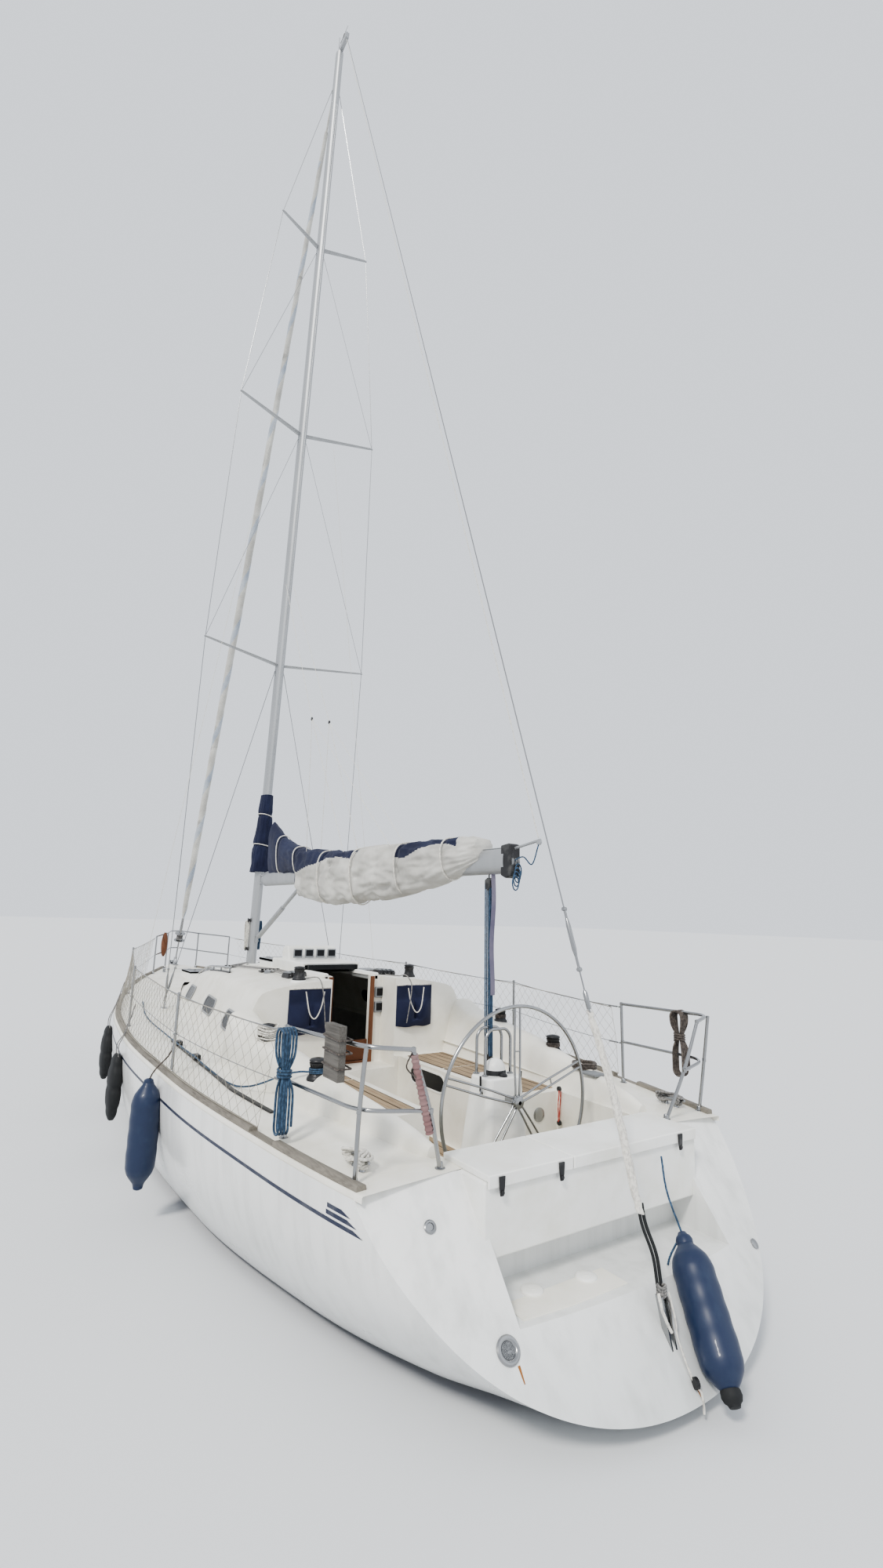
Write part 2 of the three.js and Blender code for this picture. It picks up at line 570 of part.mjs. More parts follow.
// Cockpit coamings, with a level seat in the top for each winch
function coamingRing({ x, inner, outer, top }) {
  const low = hullAt(x).sheer + roofFoot;
  const back = inner + (top - low) * coamingLean;
  const corner = Math.min(60, (top - low) / 3, (outer - back) / 4);
  return [
    [inner, cockpit.seat - 5], [back - 6, top - corner], [back + corner * 0.4, top - corner * 0.2], [back + corner, top],
    [outer - corner * 2, top], [outer - corner, top - corner * 0.5], [outer, low],
  ].map(([y, z]) => [x, y, z]);
}
const onCoaming = winches.filter((w) => w.name !== "roof");
const winchSeat = (w) => rod([w.x, w.y, w.pad], [w.x, w.y, w.pad + 300], winchFoot * w.size + 3, 20);
const coamingCuts = [underDeck.subtract(cockpitHole), cockpitSolid, joined(cleats)].flatMap(gapAround);
const coamingSolid = [...coamingCuts, ...onCoaming.map(winchSeat)].reduce(
  (solid, cut) => solid.subtract(cut),
  joined([loft(coaming.map(coamingRing)), ...onCoaming.map((w) => winchPad(w, 1))]),
);
sides.forEach(([side, s]) => add("deck", `coaming_${side}`, onSide(coamingSolid, s), deckWhite()));

const fixedDeck = joined([deckSolid, cockpitSolid, sternSolid, roofSolid, coamingSolid, mirrored(coamingSolid)]);
const deckUp = shifted(fixedDeck, 0, 0, touch);
const seated = (solid) => solid.subtract(deckUp);

panes.forEach(({ pane }, i) => sides.forEach(([side, s]) =>
  add("deck", `portlight_${side}_${i + 1}`, onSide(pane, s), acrylic())));

// Cabin sole and the steps down to it
const sole = box(-2060, 2500, -1300, 1300, -285, -255).intersect(insideGap);
const treadHeights = [10, 250, 490, 730];
const treads = treadHeights.map((z, k) => box(-1740, -1340 - 40 * k, -250, 250, z - 30, z));
const stringers = sides.map(([, s]) => box(-1742, -1420, s * 262 - 12, s * 262 + 12, -260, 760));
add("cabin", "cabin_sole_and_steps", joined([sole, ...treads, ...stringers]), varnish());

// Companionway trim: a wooden frame round the door, and the sliding hatch
const trim = { deep: 26, wide: 38, top: 1835 };
const trimX = recess.fore - trim.deep;
const trimLow = recess.floor + touch;
const trimLegs = sides.map(([, s]) => {
  const y = s * (companionway.half + trim.wide / 2);
  return box(trimX, recess.fore - touch, y - trim.wide / 2, y + trim.wide / 2, trimLow, trim.top);
});
const trimSill = box(trimX, recess.fore - touch, -companionway.half, companionway.half, trimLow, companionway.sill);
add("deck", "companionway_frame", joined([...trimLegs, trimSill]), varnish());
const slideLow = slide.bottom + 0.5;
const slideTop = slideLow + slide.thick;
const slider = box(slide.aft, slide.aft + slide.length, -slide.half, slide.half, slideLow, slideTop)
  .add(box(slide.aft - 6, slide.aft + 30, -slide.half, slide.half, slideLow, slideTop + 22));
add("deck", "companionway_hatch", slider, acrylic());

// Deck hatches on their rims
hatches.forEach((h) => {
  const lid = box(h.aft - hatchLid.proud, h.fore + hatchLid.proud, -h.half - hatchLid.proud, h.half + hatchLid.proud,
    h.rim + touch, h.rim + hatchLid.thick);
  add("deck", h.name, lid, acrylic());
});

// Two stern lids side by side over the locker, each with a lip down its aft edge
const lidSolid = (y0, y1) => box(sternLid.aft, sternLid.fore, y0, y1, sternBox.top + touch, sternLid.top)
  .add(box(sternLid.aft, sternLid.aft + sternLid.lip, y0, y1, sternLid.top - sternLid.skirt, sternLid.top));
add("deck", "stern_lid_port", lidSolid(sternLid.seam + sternLid.split, sternLid.half), gelcoat());
add("deck", "stern_lid_starboard", lidSolid(-sternLid.half, sternLid.seam - sternLid.split), gelcoat());

// Halyard bags on the bulkhead
const bag = { deep: 75, inner: 372, outer: 800, low: 1360, high: 1765 };
sides.forEach(([side, s]) => {
  const solid = box(bulkheadX - bag.deep, bulkheadX - 0.5, bag.inner, bag.outer, bag.low, bag.high);
  add("deck", `halyard_bag_${side}`, onSide(solid, s), navy());
});

// Winches, each on its pad
function winch(size) {
  const profile = [[0, 0], [78, 0], [78, 24], [60, 34], [50, 60], [50, 96], [62, 118], [64, 140], [40, 146], [38, 152],
    [0, 152]];
  return turned(profile.map(([r, z]) => [r * size, z * size]), 12);
}
winches.forEach((w) => sides.forEach(([side, s]) =>
  add("deck", `winch_${w.name}_${side}`, solidOf(winch(w.size)), winchGrey(), [w.x, s * w.y, w.pad + touch])));

// Rig

const mastAxis = (z) => [mastX(z), 0, z];
const mastBase = mastAxis(mast.foot - 15);
const mastHead = mastAxis(mast.top);
function mastTube(grow) {
  const length = vector(mastBase).distanceTo(vector(mastHead));
  const g = prism(ellipse(mast.along / 2 + grow, mast.across / 2 + grow, 16), length);
  return solidOf(aim(g, mastBase, mastHead));
}
function spreader({ z, half, chord }, s) {
  const root = mastX(z);
  const tip = root - spreaderSweep * half;
  const end = half - wire - 1.6;
  const ring = (x, y, zz, c) => ellipse(c / 2, c * 0.14, 8).map(([dx, dz]) => [x + dx, s * y, zz + dz]);
  return loft([ring(root, 30, z, chord), ring(tip, end, z + spreaderRise, chord * 0.55)]);
}
const swing = (z) => [mastX(z) - gooseneck.behind, 0, z];
// Two ears on the mast that hold a knuckle between them, on the boom's swing axis.
function ears(z, gap, radius) {
  const thick = 14;
  return [-1, 1].flatMap((k) => {
    const low = z + k * gap + (k > 0 ? 0.5 : -thick - 0.5);
    const plate = rod(swing(low), swing(low + thick), radius, 14);
    const arm = box(swing(z)[0], mastX(z), -radius * 0.7, radius * 0.7, low, low + thick);
    return [plate, arm];
  });
}
const crown = { aft: 320, fore: 130, half: 28, deep: 110 };
const masthead = box(mastHead[0] - crown.aft, mastHead[0] + crown.fore, -crown.half, crown.half,
  mast.top - crown.deep, mast.top);
const mastSolid = joined([mastTube(0), masthead, ...spreaders.flatMap((sp) => [spreader(sp, 1), spreader(sp, -1)]),
  ...ears(gooseneck.z, 46, 34), ...ears(vang.footZ, 28, 24)]);
add("rig", "mast", seated(mastSolid), alloy());

// Shrouds: the cap runs over the spreader tips and the lower to the first spreaders' roots,
// both from one toggle on the chainplate
sides.forEach(([side, s]) => {
  const { x, y } = chainplate;
  const plateTop = deckZ(x, y) + chainplate.height;
  const toggle = box(x - 26, x + 26, s * y - 9, s * y + 9, plateTop + touch, plateTop + 42);
  const foot = [x, s * (y - 1.5), plateTop + 20];
  const tips = spreaders.map(({ z, half }) => [mastX(z) - spreaderSweep * half, s * half, z + spreaderRise]);
  const atMast = (z) => [mastX(z), s * (mast.across / 2 + wire + 3), z];
  const lowFoot = [x + 14, s * y, plateTop + 20];
  add("rig", `shrouds_${side}`, joined([toggle, tubing([foot, ...tips, atMast(capTop)], wire, 6),
    rod(lowFoot, atMast(lowerTop), wire, 6)]), stainless());
});

// Forestay with the genoa rolled round it, and the stem fitting that carries its drum
const stayFoot = forestay.foot;
const stayHead = [mastX(forestay.headZ) + mast.along / 2 + 14, 0, forestay.headZ];
const stayLength = vector(stayFoot).distanceTo(vector(stayHead));
const onForestay = (d) => stayFoot.map((v, i) => v + ((stayHead[i] - v) * d) / stayLength);
const sailFoot = 876;
const genoaProfile = [[0, sailFoot], [18, sailFoot], [44, sailFoot + 190], [60, 2300], [62, 7000], [46, 12600],
  [34, stayLength - 700], [16, stayLength - 640], [16, stayLength - 30], [0, stayLength - 30]];
add("rig", "furled_genoa", solidOf(aim(turned(genoaProfile, 12), stayFoot, stayHead)), canvas());
const drumProfile = [[0, 60], [14, 60], [14, 430], [95, 430], [95, 445], [48, 450], [48, 560], [95, 565], [95, 580],
  [26, 588], [22, sailFoot - touch], [0, sailFoot - touch]];
const drum = solidOf(aim(turned(drumProfile, 14), stayFoot, stayHead));
const stemPlate = box(5700, 6090, -42, 42, 1395, 1425);
const stemEar = rod(onForestay(-65), onForestay(90), 16, 10);
const stemRoller = rod([6065, -40, 1452], [6065, 40, 1452], 34, 12);
add("rig", "stem_fitting", seated(joined([stemPlate, stemEar, stemRoller, drum])), stainless());

// Backstay, with its sleeve and tangs, down to the transom
const stayEnd = [transomX(backstay.footZ) + 8, 0, backstay.footZ];
const onStay = (z) => {
  const t = (z - stayEnd[2]) / (backstay.head[2] - stayEnd[2]);
  return stayEnd.map((v, i) => v + (backstay.head[i] - v) * t);
};
const backstaySolid = joined([rod(backstay.head, stayEnd, wire, 6),
  rod(onStay(backstay.sleeveTop), onStay(backstay.sleeveEnd), 34, 10),
  rod(onStay(backstay.sleeveEnd + 30), onStay(backstay.tangEnd), 18, 8),
  rod(onStay(backstay.tangEnd + 20), onStay(backstay.footZ + 30), 10, 8)]);
const sternFace = shifted(joined([outside.subtract(abaft(0)), deckSolid, sternSolid]), -touch, 0, 0);
add("rig", "backstay", backstaySolid.subtract(sternFace), stainless());

// Boom and what swings with it
const pivot = swing(gooseneck.z);
const boomEnd = vector([boom.end[0], 0, boom.end[1]]);
const boomDirection = boomEnd.clone().sub(vector(pivot)).normalize();
const boomLength = boomEnd.distanceTo(vector(pivot));
const alongBoom = (d, up = 0) => {
  const p = vector(pivot).addScaledVector(boomDirection, d);
  return [p.x, 0, p.z + up];
};
function boomTube(grow, from, to) {
  const outline = ellipse(boom.across / 2 + grow, boom.height / 2 + grow, 16);
  const turn = new THREE.Matrix4().makeBasis(new THREE.Vector3(0, -1, 0),
    new THREE.Vector3().crossVectors(boomDirection, new THREE.Vector3(0, -1, 0)), boomDirection);
  return solidOf(prism(outline, to - from).applyMatrix4(turn.setPosition(vector(alongBoom(from)))));
}
const knuckle = rod(swing(gooseneck.z - 45), swing(gooseneck.z + 45), 24, 14);
const knuckleArm = rod(alongBoom(5), alongBoom(boom.start + 20), 22, 10);
const boomCap = box(boom.end[0] - 62, boom.end[0] + 30, -50, 50, 2775, 3040);
const crane = rod(alongBoom(boomLength - 20, 70), boom.crane, 11, 8);
add("boom", "boom", joined([boomTube(0, boom.start, boomLength), knuckle, knuckleArm, boomCap, crane]), alloy());

const vangFoot = swing(vang.footZ);
const vangHead = alongBoom(pivot[0] - vang.headX, -boom.height / 2 - 30);
const vangMix = (t) => vangFoot.map((v, i) => v + (vangHead[i] - v) * t);
const vangLug = box(vang.headX - 30, vang.headX + 30, -16, 16, vangHead[2] - 20, vangHead[2] + 60);
const vangSolid = joined([
  rod(vangMix(0.05), vangMix(0.62), vang.tube, 12), rod(vangMix(0.6), vangHead, vang.rod, 10),
  rod(vangMix(0.001), vangMix(0.06), 10, 8), rod(swing(vang.footZ - 27), swing(vang.footZ + 27), 18, 12), vangLug,
]).subtract(boomTube(touch, boom.start, boomLength));
add("boom", "boom_vang", vangSolid, finish(0x8c9196, 0.5, 0.6));

// The stowed mainsail in its cover, lying on the boom and hanging round it:
// distance along the boom, half width, top and bottom from the boom's axis
const bundleRows = [
  { d: 330, half: 90, up: 820, down: 10 },
  { d: 620, half: 115, up: 640, down: 10 },
  { d: 1100, half: 130, up: 450, down: 10 },
  { d: 1448, half: 150, up: 380, down: -20 },
  { d: 1530, half: 160, up: 365, down: -310 },
  { d: 2200, half: 175, up: 290, down: -360 },
  { d: 2900, half: 185, up: 265, down: -380 },
  { d: 3685, half: 175, up: 260, down: -310 },
  { d: 4480, half: 160, up: 245, down: -200 },
  { d: 5000, half: 130, up: 235, down: -80 },
  { d: 5180, half: 100, up: 200, down: -10 },
];
const bundleShape = [[0, 1], [0.62, 0.93], [0.95, 0.6], [1, 0.15], [0.94, -0.3], [0.7, -0.78], [0, -1]];
const bundle = loft(bundleRows.map(({ d, half, up, down }) => {
  const middle = (up + down) / 2;
  const reach = (up - down) / 2;
  const at = alongBoom(d);
  const port = bundleShape.map(([w, h]) => [at[0], w * half, at[2] + middle + h * reach]);
  return [...port, ...port.slice(1, -1).reverse().map(([x, y, z]) => [x, -y, z])];
})).subtract(boomTube(touch, 0, boomLength + 200));
add("boom", "mainsail_bundle", bundle, canvas());

// The cover's collar, laced round the mast above the boom
function collarRing(z, half, ahead, behind) {
  const x = mastX(z);
  return ellipse(1, 1, 14).map(([c, s]) => [x + (c > 0 ? c * ahead : c * behind), s * half, z]);
}
const collar = loft([collarRing(3035, 150, 230, 128), collarRing(3500, 128, 190, 150), collarRing(4160, 84, 126, 126)]);
add("rig", "mast_cover", collar.subtract(mastTube(0.6)), navy());

// Guard rails

const sunk = -15; // how far a post starts below the deck's face before it is cut to it
const onDeck = (x, y, up) => [x, y, deckZ(x, y) + up];
const footRadius = 26;
const footPlate = (x, y) => rod(onDeck(x, y, sunk), onDeck(x, y, 12), footRadius, 10);
const stanchionY = ({ x, inset }) => hullAt(x).beam - inset;
function stanchion(at) {
  const y = stanchionY(at);
  return joined([rod(onDeck(at.x, y, sunk), onDeck(at.x, y, stanchionTop), rail), footPlate(at.x, y)]);
}
const lineEnds = { fore: { x: 4530, inset: 104 }, aft: [-4000, 1579] };
function lifeline(height) {
  const points = [lineEnds.fore, ...stanchions].map((at) => onDeck(at.x, stanchionY(at), height));
  const [x, y] = lineEnds.aft;
  return tubing([...points, onDeck(x, y, height)], 4, 6);
}
const lifelines = seated(joined([...stanchions.map(stanchion), lifeline(stanchionTop - 12), lifeline(stanchionTop / 2)]));
sides.forEach(([side, s]) => add("rails", `lifelines_${side}`, onSide(lifelines, s), stainless()));

// Pushpit: two posts on the side deck and a third that comes down beside the stern step
const pushpit = {
  fore: { foot: [-4050, 1560], middle: [-4040, 1570, 1430], top: [-4030, 1580, 1750] },
  side: { foot: [-4870, 1480], middle: [-4920, 1500, 1440], top: [-4970, 1500, 1775] },
  aft: { foot: [-4950, 985], middle: [-5030, 1110, 1420], top: [-5050, 1250, 1755] },
};
const pushpitPosts = Object.values(pushpit);
const pushpitSolid = seated(joined([
  ...pushpitPosts.map(({ foot, middle, top }) => tubing([onDeck(...foot, sunk), middle, top], rail)),
  ...pushpitPosts.map(({ foot }) => footPlate(...foot)),
  ...pushpitPosts.map(({ top }) => ball(top, rail * 1.05)),
  tubing(pushpitPosts.map(({ top }) => top), rail),
  tubing(pushpitPosts.map(({ middle }) => middle), rail * 0.9),
]));
sides.forEach(([side, s]) => add("rails", `pushpit_${side}`, onSide(pushpitSolid, s), stainless()));

const bowPosts = [4560, 5350].map((x) => ({ x, y: hullAt(x).beam - railInset }));
const noseDeck = deckZ(5900, 0);
const bowRail = (height, noseX) => [
  ...bowPosts.map(({ x, y }) => onDeck(x, y, height)), [noseX - 70, 90, noseDeck + height],
  [noseX, 0, noseDeck + height],
];
const halfPulpit = (s) => [
  ...bowPosts.flatMap(({ x, y }) => [rod(onDeck(x, s * y, sunk), onDeck(x, s * y, stanchionTop), rail),
    ball(onDeck(x, s * y, stanchionTop), rail * 1.05), footPlate(x, s * y)]),
  tubing(bowRail(stanchionTop, 6020).map(([x, y, z]) => [x, s * y, z]), rail),
  tubing(bowRail(stanchionTop / 2, 5985).map(([x, y, z]) => [x, s * y, z]), rail * 0.9),
];
const pulpit = seated(joined([...halfPulpit(1), ...halfPulpit(-1)]));
add("rails", "pulpit", pulpit, stainless());
const feet = [...stanchions.map((at) => [at.x, stanchionY(at)]), ...pushpitPosts.map(({ foot }) => foot),
  ...bowPosts.map(({ x, y }) => [x, y])];

// Toe rails along the sheer, low where the sheets lead out
const railBreak = [-4150, -3850];
const railStations = [toeRailSize.aft, -4500, railBreak[0], railBreak[0] + 12, railBreak[1] - 12, railBreak[1],
  ...hullStations.filter((x) => x > railBreak[1] && x <= 5420)];
const toeRailWhole = loft(railStations.map((x) => {
  const y = hullAt(x).beam - toeRailSize.inset;
  const z = deckZ(x, y);
  const up = x > railBreak[0] && x < railBreak[1] ? toeRailSize.low : toeRailSize.height;
  return [[x, y, z - 8], [x, y - 6, z + up], [x, y - toeRailSize.wide + 6, z + up], [x, y - toeRailSize.wide, z - 8]];
}));
const postHole = ([x, y]) => rod(onDeck(x, y, -30), onDeck(x, y, 80), footRadius + 1.5, 12);
const toeRail = feet.map(postHole).reduce((solid, cut) => solid.subtract(cut), seated(toeRailWhole));
sides.forEach(([side, s]) => add("deck", `toe_rail_${side}`, onSide(toeRail, s), teak()));

// Steering pedestal with its guard hoops and compass, and the wheel

const pedestalRing = (z, half, fore, aft) => [[fore, half], [fore, -half], [aft, -half], [aft, half]]
  .map(([x, y]) => [x, y, z]);
const pedestalSolid = loft([
  pedestalRing(cockpit.floor + touch, pedestal.halfBase, pedestal.fore, pedestal.aft),
  pedestalRing(pedestal.top, pedestal.halfTop, pedestal.foreTop, pedestal.aftTop),
]);
const wheelShaft = rod([pedestal.aftTop + 100, 0, wheel.z], [wheel.x + 34.5, 0, wheel.z], 26, 14);
const domeProfile = [[0, -10], [82, -10], [82, 30], [74, 66], [54, 94], [26, 110], [0, 114]];
const compassDome = solidOf(turned(domeProfile, 16).translate(pedestal.compass, 0, pedestal.top));
const hoopAt = (x) => {
  const { top, hoopTop, hoopHalf } = pedestal;
  const port = [[x, hoopHalf, top - 5], [x, hoopHalf, hoopTop - 50], [x, hoopHalf - 45, hoopTop]];
  return tubing([...port, ...port.slice().reverse().map(([hx, hy, hz]) => [hx, -hy, hz])], 11);
};
const pedestalWhole = joined([pedestalSolid, wheelShaft, compassDome, ...pedestal.hoops.map(hoopAt)]);
add("steering", "steering_pedestal", pedestalWhole, gelcoat());

const rimGeometry = new THREE.TorusGeometry(wheel.radius, wheel.rim, 6, 40).rotateY(Math.PI / 2);
const spokes = [0, 1, 2, 3, 4].flatMap((k) => [-1, 1].map((d) => {
  const a = Math.PI / 2 + (k * 2 * Math.PI) / 5;
  const at = (r, angle) => [0, r * Math.cos(angle), r * Math.sin(angle)];
  return rod(at(wheel.hub - 8, a + d * 0.5), at(wheel.radius, a + d * 0.035), 8, 6);
}));
const wheelHub = rod([-34, 0, 0], [34, 0, 0], wheel.hub, 16);
add("steering", "steering_wheel", joined([solidOf(rimGeometry), wheelHub, ...spokes]), stainless(),
  [wheel.x, 0, wheel.z]);

// Fenders: round ones and flat ones, hung over the side against the hull

function fenderBody(radius, length) {
  const r = radius;
  const tail = 0.16 * length;
  const profile = [[0, 0], [r * 0.3, 0], [r * 0.42, tail * 0.4], [r * 0.9, tail], [r, tail * 1.5],
    [r, length - tail * 1.5], [r * 0.9, length - tail], [r * 0.42, length - tail * 0.4], [r * 0.3, length], [0, length]];
  return turned(profile, 14);
}
const hullSide = shifted(outside, 0, touch, 0);
const blueFender = { x: -2150, top: 1100, radius: 115, length: 820, sink: 32 };
const blueFenderY = hullAt(blueFender.x).beam + blueFender.radius - blueFender.sink;
const blueFenderBody = fenderBody(blueFender.radius, blueFender.length)
  .translate(blueFender.x, blueFenderY, blueFender.top - blueFender.length);
add("fenders", "fender_port_blue", solidOf(blueFenderBody).subtract(hullSide), fenderBlue());
const flatFender = (x, top, length) => {
  const g = prism(slot(length, 130, 5), 300).rotateY(-Math.PI / 2);
  return solidOf(g.translate(x + 150, hullAt(x).beam + 38, top - length / 2)).subtract(hullSide);
};
[{ name: "fender_port_black_fore", x: 1350 }, { name: "fender_port_black_mid", x: -500 }].forEach((f) =>
  add("fenders", f.name, flatFender(f.x, 1010, 620), fenderBlack()));
const sternFender = { foot: [-6004, -108, 123], head: [-5515, -380, 674], radius: 118 };
const sternFenderLength = vector(sternFender.foot).distanceTo(vector(sternFender.head));
const sternFenderBody = aim(fenderBody(sternFender.radius, sternFenderLength), sternFender.foot, sternFender.head);
add("fenders", "fender_stern", solidOf(sternFenderBody).subtract(sternFace), fenderBlue());

// Outboard motor pad and ropes on the rails
const pad = { x: -4720, z: 1715, inner: 1541, thick: 48, half: 95, up: 148 };
const motorPad = box(pad.x - pad.half, pad.x + pad.half, pad.inner, pad.inner + pad.thick, pad.z - pad.up, pad.z + pad.up);
add("rails", "motor_pad", clearOf(motorPad, pushpitSolid), oldWood());
const hullAndRails = joined([outside, deckSolid, toeRail, pushpitSolid, lifelines]);
function hank([x, y, z], length) {
  const deep = 130;
  const g = prism(slot(length, 170, 6), deep).rotateZ(Math.PI / 2).rotateX(Math.PI / 2);
  return clearOf(solidOf(g.translate(x, y + deep / 2, z - length / 2)), hullAndRails);
}
add("rails", "rope_hank_port", hank([-4150, 1625, 1775], 640), ropeBlue());
add("rails", "rope_hank_starboard", mirrored(hank([-4700, 1500, 1790], 520)), ropeDark());
const coilRing = { inner: 45, outer: 120, high: 62 };
const coilProfile = [[coilRing.inner, 0], [coilRing.outer, 0], [coilRing.outer, coilRing.high],
  [coilRing.inner, coilRing.high], [coilRing.inner, 0]];
const coil = solidOf(turned(coilProfile, 20).translate(-4080, -1060, 1262));
add("deck", "rope_coil_starboard", seated(coil), ropeDark());

export default yacht;
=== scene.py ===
import random
from math import atan2, copysign, cos, exp, pi, radians, sin

import bmesh
import bpy
import numpy as np
from mathutils import Matrix, Vector, noise


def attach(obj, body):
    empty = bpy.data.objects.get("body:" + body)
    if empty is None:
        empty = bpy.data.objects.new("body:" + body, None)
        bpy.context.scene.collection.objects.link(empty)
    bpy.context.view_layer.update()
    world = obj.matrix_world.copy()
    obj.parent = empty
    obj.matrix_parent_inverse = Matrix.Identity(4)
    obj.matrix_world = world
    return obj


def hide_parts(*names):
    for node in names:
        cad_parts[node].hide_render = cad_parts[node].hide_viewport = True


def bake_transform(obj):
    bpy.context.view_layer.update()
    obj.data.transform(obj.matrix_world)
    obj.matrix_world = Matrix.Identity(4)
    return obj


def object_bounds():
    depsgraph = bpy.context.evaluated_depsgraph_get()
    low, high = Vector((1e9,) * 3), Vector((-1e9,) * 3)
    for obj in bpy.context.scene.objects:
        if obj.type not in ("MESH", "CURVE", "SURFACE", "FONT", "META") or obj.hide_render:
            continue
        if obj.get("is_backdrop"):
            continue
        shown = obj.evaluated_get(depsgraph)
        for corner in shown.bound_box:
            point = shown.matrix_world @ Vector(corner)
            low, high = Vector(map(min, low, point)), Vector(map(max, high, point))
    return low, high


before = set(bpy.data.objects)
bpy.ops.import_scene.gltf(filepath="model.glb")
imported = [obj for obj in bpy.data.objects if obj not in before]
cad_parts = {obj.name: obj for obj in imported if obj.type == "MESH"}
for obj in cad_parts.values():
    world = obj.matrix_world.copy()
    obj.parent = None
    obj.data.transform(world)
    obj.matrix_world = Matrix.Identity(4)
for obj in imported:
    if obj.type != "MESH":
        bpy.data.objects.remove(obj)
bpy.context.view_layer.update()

# Camera and light

camera = {
    "place": (-8.375, 3.337, 2.477),
    "yaw": 33.748,  # degrees from the bow towards starboard
    "pitch": 11.091,
    "roll": 1.626,
    "lens": 15.514,
}


def addCamera(c):
    yaw, pitch, roll = (radians(c[k]) for k in ("yaw", "pitch", "roll"))
    ahead = Vector((cos(pitch) * cos(yaw), -cos(pitch) * sin(yaw), sin(pitch)))
    right = ahead.cross(Vector((0, 0, 1))).normalized()
    up = right.cross(ahead)
    rightTurned = right * cos(roll) + up * sin(roll)
    upTurned = up * cos(roll) - right * sin(roll)
    data = bpy.data.cameras.new("camera")
    data.lens = c["lens"]
    data.sensor_width = 36
    data.clip_start, data.clip_end = 0.05, 400
    obj = bpy.data.objects.new("camera", data)
    turn = Matrix((rightTurned, upTurned, -ahead)).transposed().to_4x4()
    obj.matrix_world = Matrix.Translation(c["place"]) @ turn
    bpy.context.scene.collection.objects.link(obj)
    bpy.context.scene.camera = obj


addCamera(camera)

light = {
    "sky": (0.9, 0.94, 1.0),
    "skyStrength": 1.0,
    "key": {"place": (-9, 14, 17), "angle": 10, "power": 2.2, "colour": (1, 0.97, 0.92)},
    "fill": {"place": (-14, -9, 9), "angle": 60, "power": 0.35, "colour": (0.93, 0.96, 1)},
}


def addLight(name, l):
    data = bpy.data.lights.new(name, "SUN")
    data.angle, data.energy, data.color = radians(l["angle"]), l["power"], l["colour"]
    obj = bpy.data.objects.new(name, data)
    obj.location = l["place"]
    obj.rotation_euler = (Vector((-1, 0, 1)) - obj.location).to_track_quat("-Z", "Y").to_euler()
    bpy.context.scene.collection.objects.link(obj)


for name in ("key", "fill"):
    addLight(name, light[name])
world = bpy.data.worlds.new("studio")
world.use_nodes = True
world.node_tree.nodes["Background"].inputs["Color"].default_value = (*light["sky"], 1)
world.node_tree.nodes["Background"].inputs["Strength"].default_value = light["skyStrength"]
bpy.context.scene.world = world
bpy.context.scene.view_settings.view_transform = "AgX"
bpy.context.scene.view_settings.look = "AgX - Medium High Contrast"
bpy.context.scene.view_settings.exposure = 0.0
print("camera and light ready")


# Shaders: a wire is a socket that takes part in sums, and a shader makes its nodes through one method


class Wire:
    def __init__(self, shader, socket):
        self.shader, self.socket = shader, socket

    def maths(self, operation, *values):
        return self.shader.node("ShaderNodeMath", {"operation": operation}, dict(enumerate(values)))

    def __add__(self, other):
        return self.maths("ADD", self, other)

    def __sub__(self, other):
        return self.maths("SUBTRACT", self, other)

    def __rsub__(self, other):
        return self.maths("SUBTRACT", other, self)

    def __mul__(self, other):
        return self.maths("MULTIPLY", self, other)

    def __truediv__(self, other):
        return self.maths("DIVIDE", self, other)

    def __pow__(self, other):
        return self.maths("POWER", self, other)

    __radd__, __rmul__ = __add__, __mul__


